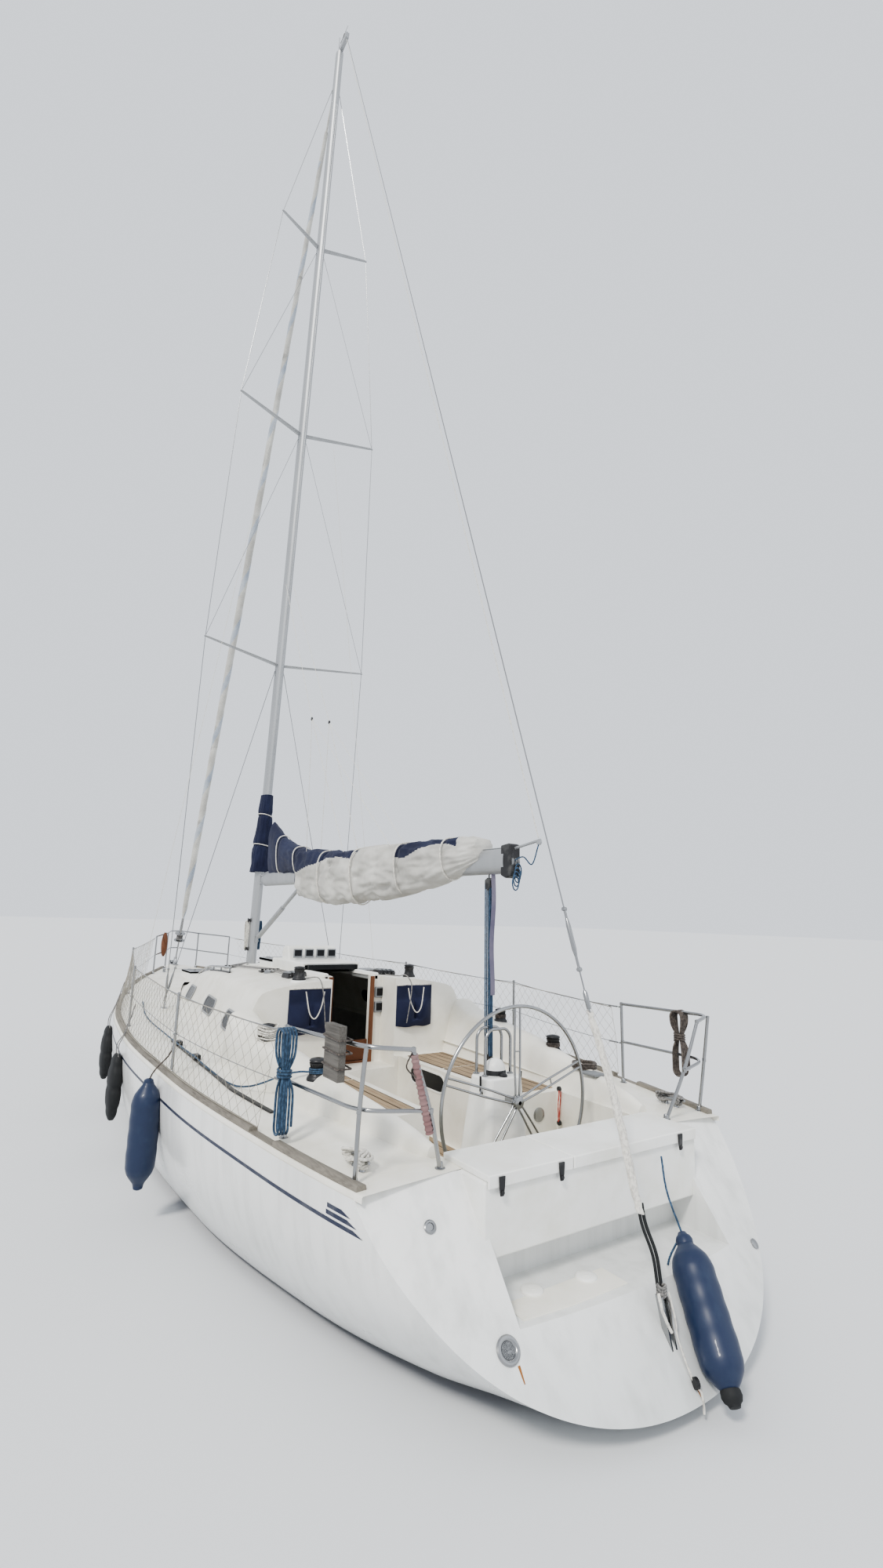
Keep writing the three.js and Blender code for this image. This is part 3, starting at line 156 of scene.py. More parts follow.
class Shader:
    def __init__(self, name, slot=None, **values):
        self.slot = slot
        self.material = bpy.data.materials.new(name)
        self.material.use_nodes = True
        self.tree = self.material.node_tree
        self.main = self.tree.nodes["Principled BSDF"]
        for key, value in values.items():
            self.set(key, value)

    def set(self, key, value):
        names = {"colour": "Base Color", "coat": "Coat Weight", "coatRoughness": "Coat Roughness",
                 "sheen": "Sheen Weight", "specular": "Specular IOR Level", "clear": "Transmission Weight"}
        socket = self.main.inputs[names.get(key, key.capitalize())]
        if isinstance(value, Wire):
            self.tree.links.new(value.socket, socket)
        else:
            socket.default_value = (*value, 1) if isinstance(value, tuple) and len(value) == 3 else value
        return self

    def node(self, kind, settings=None, inputs=None, output=0):
        node = self.tree.nodes.new(kind)
        for key, value in (settings or {}).items():
            if key == "stops":
                self.setStops(node.color_ramp, value)
            else:
                setattr(node, key, value)
        for key, value in (inputs or {}).items():
            socket = node.inputs[key]
            if isinstance(value, Wire):
                self.tree.links.new(value.socket, socket)
            else:
                socket.default_value = (*value, 1) if socket.type == "RGBA" and len(value) == 3 else value
        return Wire(self, node.outputs[output])

    def setStops(self, ramp, stops):
        while len(ramp.elements) < len(stops):
            ramp.elements.new(0.5)
        for element, (place, colour) in zip(ramp.elements, stops):
            element.position = place
            element.color = (*colour, 1) if len(colour) == 3 else colour

    # The piece's own coordinates, stretched by a scale on each axis
    def place(self, scale=(1, 1, 1)):
        own = self.node("ShaderNodeTexCoord", output=3)
        return self.node("ShaderNodeMapping", {"vector_type": "POINT"}, {"Vector": own, "Scale": scale})

    def noise(self, scale, detail=3, stretch=(1, 1, 1), rough=0.55):
        return self.node("ShaderNodeTexNoise", None, {"Vector": self.place(stretch), "Scale": scale,
                                                      "Detail": detail, "Roughness": rough})

    def ramp(self, factor, *stops):
        return self.node("ShaderNodeValToRGB", {"stops": stops}, {0: factor})

    def fade(self, factor, low, high):  # from black to white between two places
        return self.ramp(factor, (low, (0, 0, 0)), (high, (1, 1, 1)))

    def mix(self, factor, a, b, blend="MIX"):
        return self.node("ShaderNodeMix", {"data_type": "RGBA", "blend_type": blend},
                         {0: factor, 6: a, 7: b}, 2)

    def bump(self, height, strength, distance=0.002):
        return self.set("normal", self.node("ShaderNodeBump", None, {
            "Strength": strength, "Distance": distance, "Height": height}))


def gelcoatShade():
    s = Shader("gelcoat", "gelcoat", coat=0.4, coatRoughness=0.12)
    streaks = s.noise(1, 5, (9, 9, 0.35))
    blotches = s.noise(1.6, 4)
    height = s.node("ShaderNodeSeparateXYZ", None, {0: s.place()}, 2)
    # Towards the bottom the white is mixed into bluish grey: painted shade and painted reflection on the
    # hull's lower side, partly grime
    low = s.ramp(height, (0.0, (1, 1, 1)), (0.75, (0, 0, 0)))
    dirt = s.fade(streaks, 0.46, 0.75)
    soil = s.mix(0.5, dirt, s.fade(blotches, 0.45, 0.7), "ADD")
    shadedLowWhite = s.mix(low * 0.6, (0.84, 0.84, 0.82), (0.5, 0.54, 0.55))
    white = s.mix(soil * 0.32, shadedLowWhite, (0.42, 0.43, 0.41))
    painted = s.ramp(height - 0.05, (0.0, (0.012, 0.018, 0.05)), (0.004, (1, 1, 1)))
    s.set("colour", s.mix(1, white, painted, "MULTIPLY"))
    s.set("roughness", blotches * 0.2 + 0.2)
    return s.bump(blotches, 0.08, 0.004)


def mouldingShade(name, slot, colour, grip):
    s = Shader(name, slot, coat=0.15, coatRoughness=0.3)
    blotches = s.noise(3.2, 5)
    fine = s.noise(260, 2)
    stain = s.ramp(blotches, (0.42, (1, 1, 1)), (0.72, (0.86, 0.85, 0.81)))
    s.set("colour", s.mix(1, colour, stain, "MULTIPLY"))
    s.set("roughness", blotches * 0.25 + 0.3)
    return s.bump(fine, grip, 0.0012)


def teakShade(name, slot, light, dark, pitch):
    s = Shader(name, slot)
    grain = s.noise(5, 6, (1, 22, 22))
    patches = s.noise(2.4, 4)
    seams = s.node("ShaderNodeTexWave", {"bands_direction": "Y", "wave_profile": "SIN"},
                   {"Vector": s.place(), "Scale": pitch, "Distortion": 0.0}, 1)
    caulk = s.ramp(seams, (0.02, (0.25, 0.25, 0.25)), (0.08, (1, 1, 1)))
    wood = s.mix(s.fade(grain, 0.3, 0.7), dark, light)
    worn = s.mix(s.fade(patches, 0.4, 0.7), wood, light)
    s.set("colour", s.mix(1, worn, caulk, "MULTIPLY") if pitch else worn)
    s.set("roughness", grain * 0.2 + 0.65)
    return s.bump(grain, 0.5, 0.002)


def metalShade(name, slot, colour, roughness, variation=0.15, metallic=1.0, stretch=(1, 1, 1)):
    s = Shader(name, slot, metallic=metallic)
    smear = s.noise(7, 5, stretch)
    s.set("colour", s.mix(s.fade(smear, 0.35, 0.75) * 0.5, colour,
                          tuple(c * 0.72 for c in colour)))
    s.set("roughness", smear * variation + roughness)
    return s.bump(s.noise(60, 3, stretch), 0.04, 0.001)


def plainShade(name, slot, colour, roughness, grain=90, depth=0.15, coat=0.0, sheen=0.0,
               dust=(0.4, 0.4, 0.38)):
    s = Shader(name, slot, coat=coat, sheen=sheen)
    wear = s.noise(11, 5)
    s.set("colour", s.mix(s.fade(wear, 0.5, 0.85) * 0.25, colour, dust))
    s.set("roughness", wear * 0.2 + roughness)
    return s.bump(s.noise(grain, 3), depth, 0.001)


def clothShade(name, slot, colour, faded, weave=520, patch=None, folds=0.25):
    s = Shader(name, slot, sheen=0.06, roughness=0.9)
    threadU = s.node("ShaderNodeTexWave", {"bands_direction": "X"}, {"Vector": s.place(), "Scale": weave})
    threadV = s.node("ShaderNodeTexWave", {"bands_direction": "Z"}, {"Vector": s.place(), "Scale": weave})
    bleach = s.noise(2.6, 6)
    base = s.mix(s.fade(bleach, 0.38, 0.68), colour, faded)
    if patch:
        stain = s.noise(1.3, 5, (1, 1, 1.6))
        base = s.mix(s.fade(stain, 0.6, 0.68), base, patch)
    s.set("colour", base)
    creases = s.noise(14, 4, (1, 1, 2.2))
    return s.bump(threadU * 0.04 + threadV * 0.04 + creases * folds, 0.5, 0.006)


def ropeShade(name, slot, colour, fleck, scale=70):
    s = Shader(name, slot, sheen=0.15, roughness=0.85)
    strand = s.noise(scale, 3, (1, 1, 0.6))
    s.set("colour", s.mix(s.fade(strand, 0.45, 0.62), colour, fleck))
    return s.bump(strand, 0.8, 0.003)


gelcoat = gelcoatShade()
moulding = mouldingShade("deckGelcoat", "deck_gelcoat", (0.84, 0.82, 0.75), 0.3)
gloss = mouldingShade("lidGelcoat", "gelcoat", (0.87, 0.87, 0.84), 0.06)
teak = teakShade("teak", "teak", (0.24, 0.22, 0.185), (0.08, 0.07, 0.058), 0)
slats = teakShade("teakSlats", "teak", (0.36, 0.27, 0.17), (0.2, 0.14, 0.09), 3.3)
varnish = teakShade("varnish", "varnished_wood", (0.17, 0.065, 0.028), (0.07, 0.026, 0.012), 0)
joinery = teakShade("joinery", "interior", (0.2, 0.11, 0.06), (0.09, 0.05, 0.03), 0)
oldWood = teakShade("oldWood", "old_wood", (0.15, 0.14, 0.125), (0.03, 0.026, 0.022), 0)
steel = metalShade("stainless", "stainless", (0.36, 0.365, 0.37), 0.16)
alloy = metalShade("anodised", "anodised", (0.42, 0.43, 0.44), 0.38, stretch=(1, 1, 0.1), metallic=0.6)
winchMetal = metalShade("winchMetal", "winch_metal", (0.05, 0.05, 0.052), 0.34, metallic=0.7)
bronze = metalShade("bronze", "bronze", (0.4, 0.27, 0.11), 0.35)
iron = plainShade("castIron", "iron", (0.04, 0.05, 0.07), 0.6, 30, 0.4)
antifoul = plainShade("antifoul", "antifoul", (0.02, 0.03, 0.07), 0.7, 40, 0.3)
acrylic = plainShade("acrylic", "acrylic", (0.006, 0.007, 0.009), 0.12, 20, 0.01, dust=(0.02, 0.02, 0.022))
acrylic.set("specular", 0.3)
black = plainShade("blackPlastic", "black_plastic", (0.018, 0.018, 0.02), 0.42)
grey = plainShade("greyPlastic", "black_plastic", (0.2, 0.21, 0.22), 0.5)
navyPaint = plainShade("navyStripe", "navy_canvas", (0.012, 0.018, 0.05), 0.3)
vinylBlue = plainShade("blueVinyl", "blue_vinyl", (0.008, 0.02, 0.06), 0.34, 40, 0.06, coat=0.15,
                       dust=(0.05, 0.08, 0.13))
vinylBlack = plainShade("blackVinyl", "black_vinyl", (0.01, 0.011, 0.012), 0.6, 50, 0.3,
                        dust=(0.06, 0.06, 0.06))
navy = clothShade("navyCanvas", "navy_canvas", (0.006, 0.009, 0.035), (0.012, 0.018, 0.055))
cover = clothShade("greyCanvas", "grey_canvas", (0.42, 0.41, 0.38), (0.62, 0.61, 0.57),
                   patch=(0.17, 0.17, 0.16))
sailWhite = clothShade("rolledSail", "grey_canvas", (0.32, 0.36, 0.42), (0.5, 0.53, 0.56))
wrap = clothShade("pinkWrap", "grey_canvas", (0.2, 0.1, 0.1), (0.34, 0.24, 0.23), weave=300)
webbing = clothShade("webbing", "grey_canvas", (0.12, 0.11, 0.17), (0.22, 0.2, 0.25), weave=300)
# The whitish net cord is coloured dark grey: painted shade for the shadows along its lines
netting = plainShade("shadedNetCord", "dark_rope", (0.3, 0.28, 0.24), 0.8, 60, 0.3)
rust = plainShade("rust", "gelcoat", (0.3, 0.13, 0.04), 0.8, 40, 0.2)
whiteRope = ropeShade("whiteRope", "dark_rope", (0.7, 0.68, 0.62), (0.5, 0.48, 0.44))
greyRope = ropeShade("greyRope", "dark_rope", (0.24, 0.23, 0.22), (0.1, 0.1, 0.1))
blueRope = ropeShade("blueRope", "blue_rope", (0.018, 0.045, 0.085), (0.05, 0.1, 0.17))
darkRope = ropeShade("darkRope", "dark_rope", (0.05, 0.04, 0.035), (0.12, 0.1, 0.085))
redRope = ropeShade("redRope", "dark_rope", (0.45, 0.04, 0.03), (0.6, 0.25, 0.2))
print("materials ready")


# Forms: points and faces gathered from tubes, turned shapes, blocks and grids, then made into one piece


def unit(v):
    v = np.asarray(v, float)
    return v / max(np.linalg.norm(v), 1e-9)


def fullTurn(count):  # angles once round
    return np.linspace(0, 2 * pi, count + 1)[:-1]


def rounded(points, radius, steps=5):  # a path whose corners are eased to a radius
    p = [np.asarray(q, float) for q in points]
    out = [p[0]]
    for before, at, after in zip(p, p[1:], p[2:]):
        a, b = before - at, after - at
        la, lb = np.linalg.norm(a), np.linalg.norm(b)
        reach = min(radius, la * 0.45, lb * 0.45)
        start, end = at + a / la * reach, at + b / lb * reach
        for i in range(steps + 1):
            t = i / steps
            out.append((1 - t) ** 2 * start + 2 * t * (1 - t) * at + t * t * end)
    return out + [p[-1]]


def smoothPath(points, steps=8):  # a Catmull-Rom curve through the points
    p = np.asarray(points, float)
    p = np.vstack([2 * p[0] - p[1], p, 2 * p[-1] - p[-2]])
    out = []
    for i in range(1, len(p) - 2):
        for t in np.arange(steps) / steps:
            a, b, c, d = p[i - 1:i + 3]
            out.append(0.5 * (2 * b + (c - a) * t + (2 * a - 5 * b + 4 * c - d) * t * t
                              + (3 * b - a - 3 * c + d) * t ** 3))
    return out + [p[-2]]


class Form:
    def __init__(self):
        self.points, self.faces, self.paints, self.paint = [], [], [], 0

    def add(self, points, faces):
        start = len(self.points)
        self.points += [tuple(map(float, p)) for p in points]
        self.faces += [tuple(start + i for i in f) for f in faces]
        self.paints += [self.paint] * len(faces)
        return self

    def grid(self, rows, closed=False, caps=False):
        n = len(rows[0])
        faces = []
        for r in range(len(rows) - 1):
            for k in range(n if closed else n - 1):
                j = (k + 1) % n
                faces.append((r * n + k, r * n + j, (r + 1) * n + j, (r + 1) * n + k))
        if caps:
            faces += [tuple(range(n))[::-1], tuple(range((len(rows) - 1) * n, len(rows) * n))]
        return self.add([p for row in rows for p in row], faces)

    def tube(self, points, radius, sides=10, closed=False, caps=True, strands=0, pitch=0.05):
        p = np.asarray(points, float)
        if closed:
            p = np.vstack([p, p[:1]])
        along = np.gradient(p, axis=0)
        if closed:
            along[0] = along[-1] = p[1] - p[-2]
        side = unit(np.cross(along[0], (0.31, 0.17, 0.93)))
        rows = []
        run = 0.0
        for i, at in enumerate(p):
            direction = unit(along[i])
            side = unit(side - direction * np.dot(side, direction))
            other = np.cross(direction, side)
            r = radius(i / (len(p) - 1)) if callable(radius) else radius
            run += np.linalg.norm(at - p[i - 1]) if i else 0
            ring = []
            for k in range(sides):
                a = 2 * pi * k / sides
                rr = r * (1 + 0.16 * cos(strands * (a - 2 * pi * run / pitch))) if strands else r
                ring.append(at + rr * (cos(a) * side + sin(a) * other))
            rows.append(ring)
        if closed:
            rows = rows[:-1] + [rows[0]]
        return self.grid(rows, closed=True, caps=caps and not closed)

    def lathe(self, profile, place=(0, 0, 0), axis=(0, 0, 1), sides=32):
        axis = unit(axis)
        side = unit(np.cross(axis, (0.31, 0.93, 0.17)))
        other = np.cross(axis, side)
        turns = [2 * pi * k / sides for k in range(sides)]
        rows = [[np.asarray(place) + axis * z + max(r, 1e-4) * (cos(a) * side + sin(a) * other)
                 for a in turns] for r, z in profile]
        return self.grid(rows, closed=True, caps=True)

    def block(self, low, high):
        corners = [(x, y, z) for x in (low[0], high[0]) for y in (low[1], high[1])
                   for z in (low[2], high[2])]
        return self.add(corners, [(0, 1, 3, 2), (4, 6, 7, 5), (0, 4, 5, 1), (2, 3, 7, 6), (0, 2, 6, 4),
                                  (1, 5, 7, 3)])

    def slab(self, outline, low, high):  # an outline of points, pushed along from one offset to another
        n = len(outline)
        a = [np.asarray(p) + np.asarray(low) for p in outline]
        b = [np.asarray(p) + np.asarray(high) for p in outline]
        sides = [(k, (k + 1) % n, n + (k + 1) % n, n + k) for k in range(n)]
        return self.add(a + b, [tuple(range(n))[::-1], tuple(range(n, 2 * n)), *sides])

    def mirror(self):  # the same again on the other side of the boat
        count = len(self.points)
        self.points += [(x, -y, z) for x, y, z in self.points]
        self.faces += [tuple(count + i for i in f)[::-1] for f in self.faces]
        self.paints += self.paints
        return self

    def make(self, name, body, *shaders, replaces=(), bevel=0.0, segments=3, angle=35, weld=1e-4, sharp=40,
             outward=True):
        mesh = bpy.data.meshes.new(name)
        mesh.from_pydata(self.points, [], self.faces)
        for shader in shaders:
            mesh.materials.append(shader.material)
        mesh.polygons.foreach_set("material_index", self.paints)
        made = bmesh.new()
        made.from_mesh(mesh)
        if weld:
            bmesh.ops.remove_doubles(made, verts=made.verts, dist=weld)
            bmesh.ops.dissolve_degenerate(made, edges=made.edges, dist=weld)
        loose = [v for v in made.verts if not v.link_faces]
        bmesh.ops.delete(made, geom=loose, context="VERTS")
        if outward:
            bmesh.ops.recalc_face_normals(made, faces=made.faces)
        made.to_mesh(mesh)
        made.free()
        mesh.shade_smooth()
        obj = bpy.data.objects.new(name, mesh)
        bpy.context.scene.collection.objects.link(obj)
        if bevel:
            edge = obj.modifiers.new("edge", "BEVEL")
            edge.width, edge.segments = bevel, segments
            edge.limit_method, edge.angle_limit = "ANGLE", radians(angle)
            edge.harden_normals = True
        else:
            mesh.set_sharp_from_angle(angle=radians(sharp))
        if body:
            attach(obj, body)
        if replaces:
            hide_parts(*replaces)
        return obj


sides = (("port", 1), ("starboard", -1))


def onSide(points, s):
    return [(p[0], p[1] * s, p[2]) for p in points]


class Table:  # smooth curves through a table's columns, with slopes that don't overshoot
    def __init__(self, *rows):
        t = np.array(sorted(rows), float)
        self.x, self.v = t[:, 0], t[:, 1:]
        secant = np.diff(self.v, axis=0) / np.diff(self.x)[:, None]
        before, after = secant[:-1], secant[1:]
        total = before + after
        middle = np.where(before * after > 0, 2 * before * after / np.where(total == 0, 1, total), 0)
        self.slope = np.vstack([secant[:1], middle, secant[-1:]])

    def __call__(self, x):
        x = min(max(x, self.x[0]), self.x[-1])
        i = min(max(int(np.searchsorted(self.x, x)), 1), len(self.x) - 1)
        span = self.x[i] - self.x[i - 1]
        t = (x - self.x[i - 1]) / span
        return ((2 * t ** 3 - 3 * t * t + 1) * self.v[i - 1]
                + (t ** 3 - 2 * t * t + t) * span * self.slope[i - 1]
                + (3 * t * t - 2 * t ** 3) * self.v[i] + (t ** 3 - t * t) * span * self.slope[i])


def chaikin(points, times=3):  # cuts a path's corners, its ends kept
    p = np.asarray(points, float)
    for _ in range(times):
        a, b = p[:-1], p[1:]
        cut = np.stack([0.75 * a + 0.25 * b, 0.25 * a + 0.75 * b], axis=1).reshape(-1, p.shape[1])
        p = np.vstack([p[:1], cut[1:-1], p[-1:]])
    return p


# Hull: station, half beam, sheer, keel line, fullness of the section

hullLines = Table(
    (-6.2, 1.19, 1.008, 0.16, 2.25), (-5.8, 1.285, 1.012, 0.08, 2.25), (-5.4, 1.39, 1.018, -0.02, 2.25),
    (-5, 1.52, 1.026, -0.12, 2.28), (-4, 1.71, 1.056, -0.32, 2.3), (-2.5, 1.885, 1.1, -0.48, 2.35),
    (-1, 1.93, 1.13, -0.54, 2.35), (0.5, 1.845, 1.165, -0.53, 2.25), (2, 1.6, 1.21, -0.48, 2.1),
    (3.2, 1.27, 1.26, -0.4, 1.95), (4.2, 0.9, 1.305, -0.29, 1.8), (4.9, 0.59, 1.332, -0.16, 1.65),
    (5.42, 0.35, 1.355, 0, 1.55), (5.8, 0.165, 1.372, 0.62, 1.5), (6.05, 0.022, 1.38, 1.3, 1.5))
stern = {"foot": -5.956, "lean": 0.807, "round": 0.071, "half": 0.86, "floor": 0.5, "fore": -5.08,
         "locker": (-5.25, 0.7, 1.085), "lockerHalf": 0.9}
deckEdge, deckCamber = 0.03, 0.06


def hullPoint(x, a):
    beam, sheer, keel, full = hullLines(x)
    return x, beam * max(cos(a), 0) ** (2 / full), sheer - (sheer - keel) * sin(a) ** (2 / full)


def deckZ(x, y):
    beam, sheer = hullLines(x)[:2]
    return sheer + deckEdge + deckCamber * beam / 1.93 * (1 - (y / beam) ** 2)


def sternX(y, z):
    return stern["foot"] + stern["lean"] * z + stern["round"] * y * y


def sternPoint(a):
    x = -5.5
    for _ in range(14):
        x, y, z = hullPoint(x, a)
        x = sternX(y, z)
    return x, y, z


def floorAngle(low=0.0, high=pi / 2):  # where the stern's edge passes the floor of the step
    for _ in range(30):
        middle = (low + high) / 2
        if sternPoint(middle)[2] > stern["floor"]:
            low = middle
        else:
            high = middle
    return low


stepAngle = floorAngle()
angles = [*np.linspace(0, stepAngle, 17)[:-1], *np.linspace(stepAngle, pi / 2, 48)]
bowX = 6.05
shares = np.linspace(0, 1, 90)


def makeHull():
    f = Form()
    edge = [sternPoint(a) for a in angles]
    f.grid([[hullPoint(p[0] + (bowX - p[0]) * u, a) for p, a in zip(edge, angles)] for u in shares])
    stem = [hullPoint(bowX, a) for a in angles]
    f.grid([stem, [(x, 0, z) for x, y, z in stem]])
    half = stern["half"]
    wings, below = [], []
    for (x, y, z), a in zip(edge, angles):
        if a <= stepAngle + 1e-9:
            wings.append([(sternX(q, z), q, z) for q in np.linspace(y, half, 9)])
        if a >= stepAngle - 1e-9:
            inner = min(half, y * 0.75) if a > stepAngle + 1e-9 else half
            across = [*np.linspace(y, inner, 9), *np.linspace(inner, 0, 13)[1:]]
            below.append([(sternX(q, z), q, z) for q in across])
    outboard = wings[0][0][1] - 0.012
    heights = [deckZ(edge[0][0], min(p[1], outboard)) - 0.004 for p in wings[0]]
    widths = [min(p[1], wings[0][0][1] - 0.042) for p in wings[0]]
    rise = [[(sternX(y, z), y, z) for y, z in zip(widths, heights)]]
    f.grid(rise + wings)
    f.grid(below)
    walls = [[(max(sternX(half, row[-1][2]), x), half, row[-1][2])
              for x in np.linspace(-5.6, stern["fore"], 12)]
             for row in rise + wings]
    for row in walls:
        row[0] = (sternX(half, row[0][2]), half, row[0][2])
    f.grid(walls)
    floorEdge = [(sternX(q, 0.5), q, 0.5) for q in np.linspace(half, 0, 13)]
    f.grid([[(x + (stern["fore"] - x) * t, y, z) for x, y, z in floorEdge] for t in (0, 0.25, 0.5, 0.75, 1)])
    f.grid([[(stern["fore"], q, z) for q in np.linspace(half, 0, 13)] for z in (0.5, 0.6, 0.7)])
    f.mirror()
    return f.make("hullSkin", "yacht", gelcoat, navyPaint, replaces=("hull", "stern_moulding"), bevel=0.035,
                  segments=4, angle=42, weld=4e-4)


makeHull()

# The cove stripe and the line at the top of the boot, laid on the hull as thin bands

stripeProud = 0.0012


def hullY(x, z):  # the hull's half beam at a height
    low, high = 0.0, pi / 2
    for _ in range(24):
        middle = (low + high) / 2
        low, high = (middle, high) if hullPoint(x, middle)[2] > z else (low, middle)
    return hullPoint(x, low)[1]


# From one drop below the sheer to another, its aft end raked
def hullBand(f, top, bottom, x0, x1, count=120, slant=0.075):
    rows = []
    for share in np.linspace(0, 1, count):
        row = []
        for drop in np.linspace(top, bottom, 3):
            start = x0 + slant * (bottom - drop) / (bottom - top)
            x = start + (x1 - start) * share
            z = hullLines(x)[1] - drop
            row.append((x, hullY(x, z) + stripeProud, z))
        rows.append(row)
    f.grid(rows)


coves = Form()
hullBand(coves, 0.146, 0.168, -5.035, 5.7)
hullBand(coves, 0.11, 0.133, -4.99, -4.74, 8)
hullBand(coves, 0.075, 0.098, -4.945, -4.75, 8)
coves.mirror().make("coveStripe", "yacht", navyPaint, outward=False)
boot = Form()
rows = [[(x, hullY(x, z) + stripeProud, z) for z in (0.075, 0.05, 0.02)]
        for x in np.linspace(-5.72, 5.36, 140)]
boot.grid([row for row in rows if all(p[0] > sternX(p[1], p[2]) for p in row)])
boot.mirror().make("bootStripe", "yacht", navyPaint, outward=False)

# Locker under the helm seat: a box with an open top, and the step panel with its two round plates

lockerX, lockerLow, lockerTop = stern["locker"]
locker = Form()
wide = stern["lockerHalf"]
outer = [(lockerX, -wide), (lockerX, wide), (-4.87, wide), (-4.87, -wide)]
inner = [(lockerX + 0.03, -wide + 0.07), (lockerX + 0.03, wide - 0.07), (-4.9, wide - 0.07),
         (-4.9, -wide + 0.07)]
locker.grid([[(x, y, lockerLow) for x, y in outer], [(x, y, lockerTop) for x, y in outer],
             [(x, y, lockerTop) for x, y in inner], [(x, y, lockerLow + 0.03) for x, y in inner]],
            closed=True,
            caps=True)
locker.make("locker", "yacht", gloss, replaces=("stern_moulding",), bevel=0.03, segments=4)
panel = Form()
panel.slab([(-5.485, 0.06, 0), (-5.485, 0.5, 0), (-5.46, 0.8, 0), (-5.29, 0.8, 0), (-5.29, 0.06, 0)],
           (0, 0, 0.498), (0, 0, 0.505))
panel.make("stepPanel", "yacht", moulding, bevel=0.003, segments=2)
plates = Form()
for x, y in ((-5.27, 0.58), (-5.32, 0.22)):
    plates.lathe([(0, 0.5), (0.062, 0.5), (0.062, 0.512), (0.055, 0.517), (0.02, 0.518), (0, 0.518)],
                 (x, y, 0))
    plates.lathe([(0.02, 0.517), (0.02, 0.521), (0, 0.521)], (x, y, 0), sides=16)
plates.make("deckPlates", "yacht", gloss, sharp=60)

# Exhaust, socket and eye in the stern


def aftWay(y):  # straight out of the stern's face
    return unit((-1, 2 * stern["round"] * y, stern["lean"]))


def sternFace(y, z, proud):
    return np.array((sternX(y, z), y, z)) + aftWay(y) * proud


skin = Form()
skin.lathe([(0.062, 0), (0.062, 0.007), (0.055, 0.013), (0.044, 0.013), (0.038, 0.008), (0.035, 0.003),
            (0, 0.002)],
           sternFace(0.96, 0.45, 0), aftWay(0.96), 40)
skin.lathe([(0.034, 0), (0.034, 0.006), (0.028, 0.01), (0.02, 0.009), (0.017, 0.003), (0, 0.002)],
           sternFace(1.17, 0.89, 0), aftWay(1.17))
skin.lathe([(0.03, 0), (0.03, 0.008), (0.018, 0.012), (0, 0.012)], sternFace(-1.12, 0.45, 0), aftWay(-1.12))
skin.lathe([(0.0345, 0.0035), (0, 0.0035)], sternFace(0.96, 0.45, 0), aftWay(0.96), 40)
skin.make("sternFittings", "yacht", steel)
print("hull ready")

# Deck: the edge turned down over the sheer, then the side decks in to the cabin and cockpit

roofTable = Table((-2.1, 1.33, 1.11, 1.69, 1.85), (-0.6, 1.17, 0.97, 1.69, 1.84),
                  (1, 0.99, 0.79, 1.62, 1.76),
                  (2, 0.8, 0.61, 1.5, 1.61), (2.8, 0.6, 0.44, 1.37, 1.44), (3.3, 0.44, 0.29, 1.29, 1.325))
deckEnd = 5.95


def deckInner(x):
    if x < -4.87:
        return 0.865
    if x < -2.1:
        return 0.955
    return max(roofTable(x)[0] - 0.03, 0.0) if x < 3.3 else 0.0


def deckRow(x, inner, count=14):
    beam, sheer = hullLines(x)[:2]
    edge = beam - 0.003
    lip = [(x, edge, sheer - 0.004), (x, edge, sheer + deckEdge - 0.006),
           (x, edge - 0.006, deckZ(x, edge - 0.006))]
    return lip + [(x, y, deckZ(x, y)) for y in np.linspace(edge - 0.03, inner, count)]


deck = Form()
sternRow = []
for p in deckRow(-5.1, 0.865):
    x = sternX(p[1], p[2])
    beam, sheer = hullLines(x)[:2]
    y = min(p[1], beam - 0.003)
    easing = 0.034 * max(0.0, (y - beam + 0.055) / 0.052) ** 2
    sternRow.append((x + easing, y, p[2]))
rolled = [[(x + forward, y, z - down) for x, y, z in sternRow] for forward, down in
          ((-0.012, 0.03), (-0.0005, 0.018), (0.0085, 0.008), (0.024, 0.001))]
aftRows = rolled + [deckRow(x, deckInner(x)) for x in (-5.02, -4.99, -4.95, -4.9)]
deck.grid(aftRows)
deck.grid([deckRow(-4.9, 0.865), deckRow(-4.872, 0.865)])
deck.grid([deckRow(x, 0.955) for x in (-4.872, *np.linspace(-4.8, -2.1, 34))])
deck.grid([deckRow(x, deckInner(x)) for x in (*np.linspace(-2.1, 3.25, 66), 3.3)])
deck.grid([deckRow(x, 0.0) for x in (*np.linspace(3.3, 5.9, 40), deckEnd)])
deck.mirror().make("deckSkin", "yacht", moulding, replaces=("deck_moulding",), weld=4e-4, sharp=50)
rims = Form()


def rim(low, high, half, base, top, width=0.035):
    outer = [(low, -half), (low, half), (high, half), (high, -half)]
    inner = [(low + width, -half + width), (low + width, half - width), (high - width, half - width),
             (high - width, -half + width)]
    rims.grid([[(x, y, base) for x, y in outer], [(x, y, top) for x, y in outer],
               [(x, y, top) for x, y in inner], [(x, y, base) for x, y in inner]], closed=True)


rim(3.5, 4.06, 0.28, 1.32, 1.44)
rim(-0.29, 0.27, 0.27, 1.76, 1.88)
rims.make("hatchRims", "yacht", gloss, bevel=0.008, outward=False)

# Coachroof

recessHalf, recessFore, recessFloor, openFore, bulkhead = 0.36, -1.8, 0.98, -1.3, -2.1
roofRise = 0.012


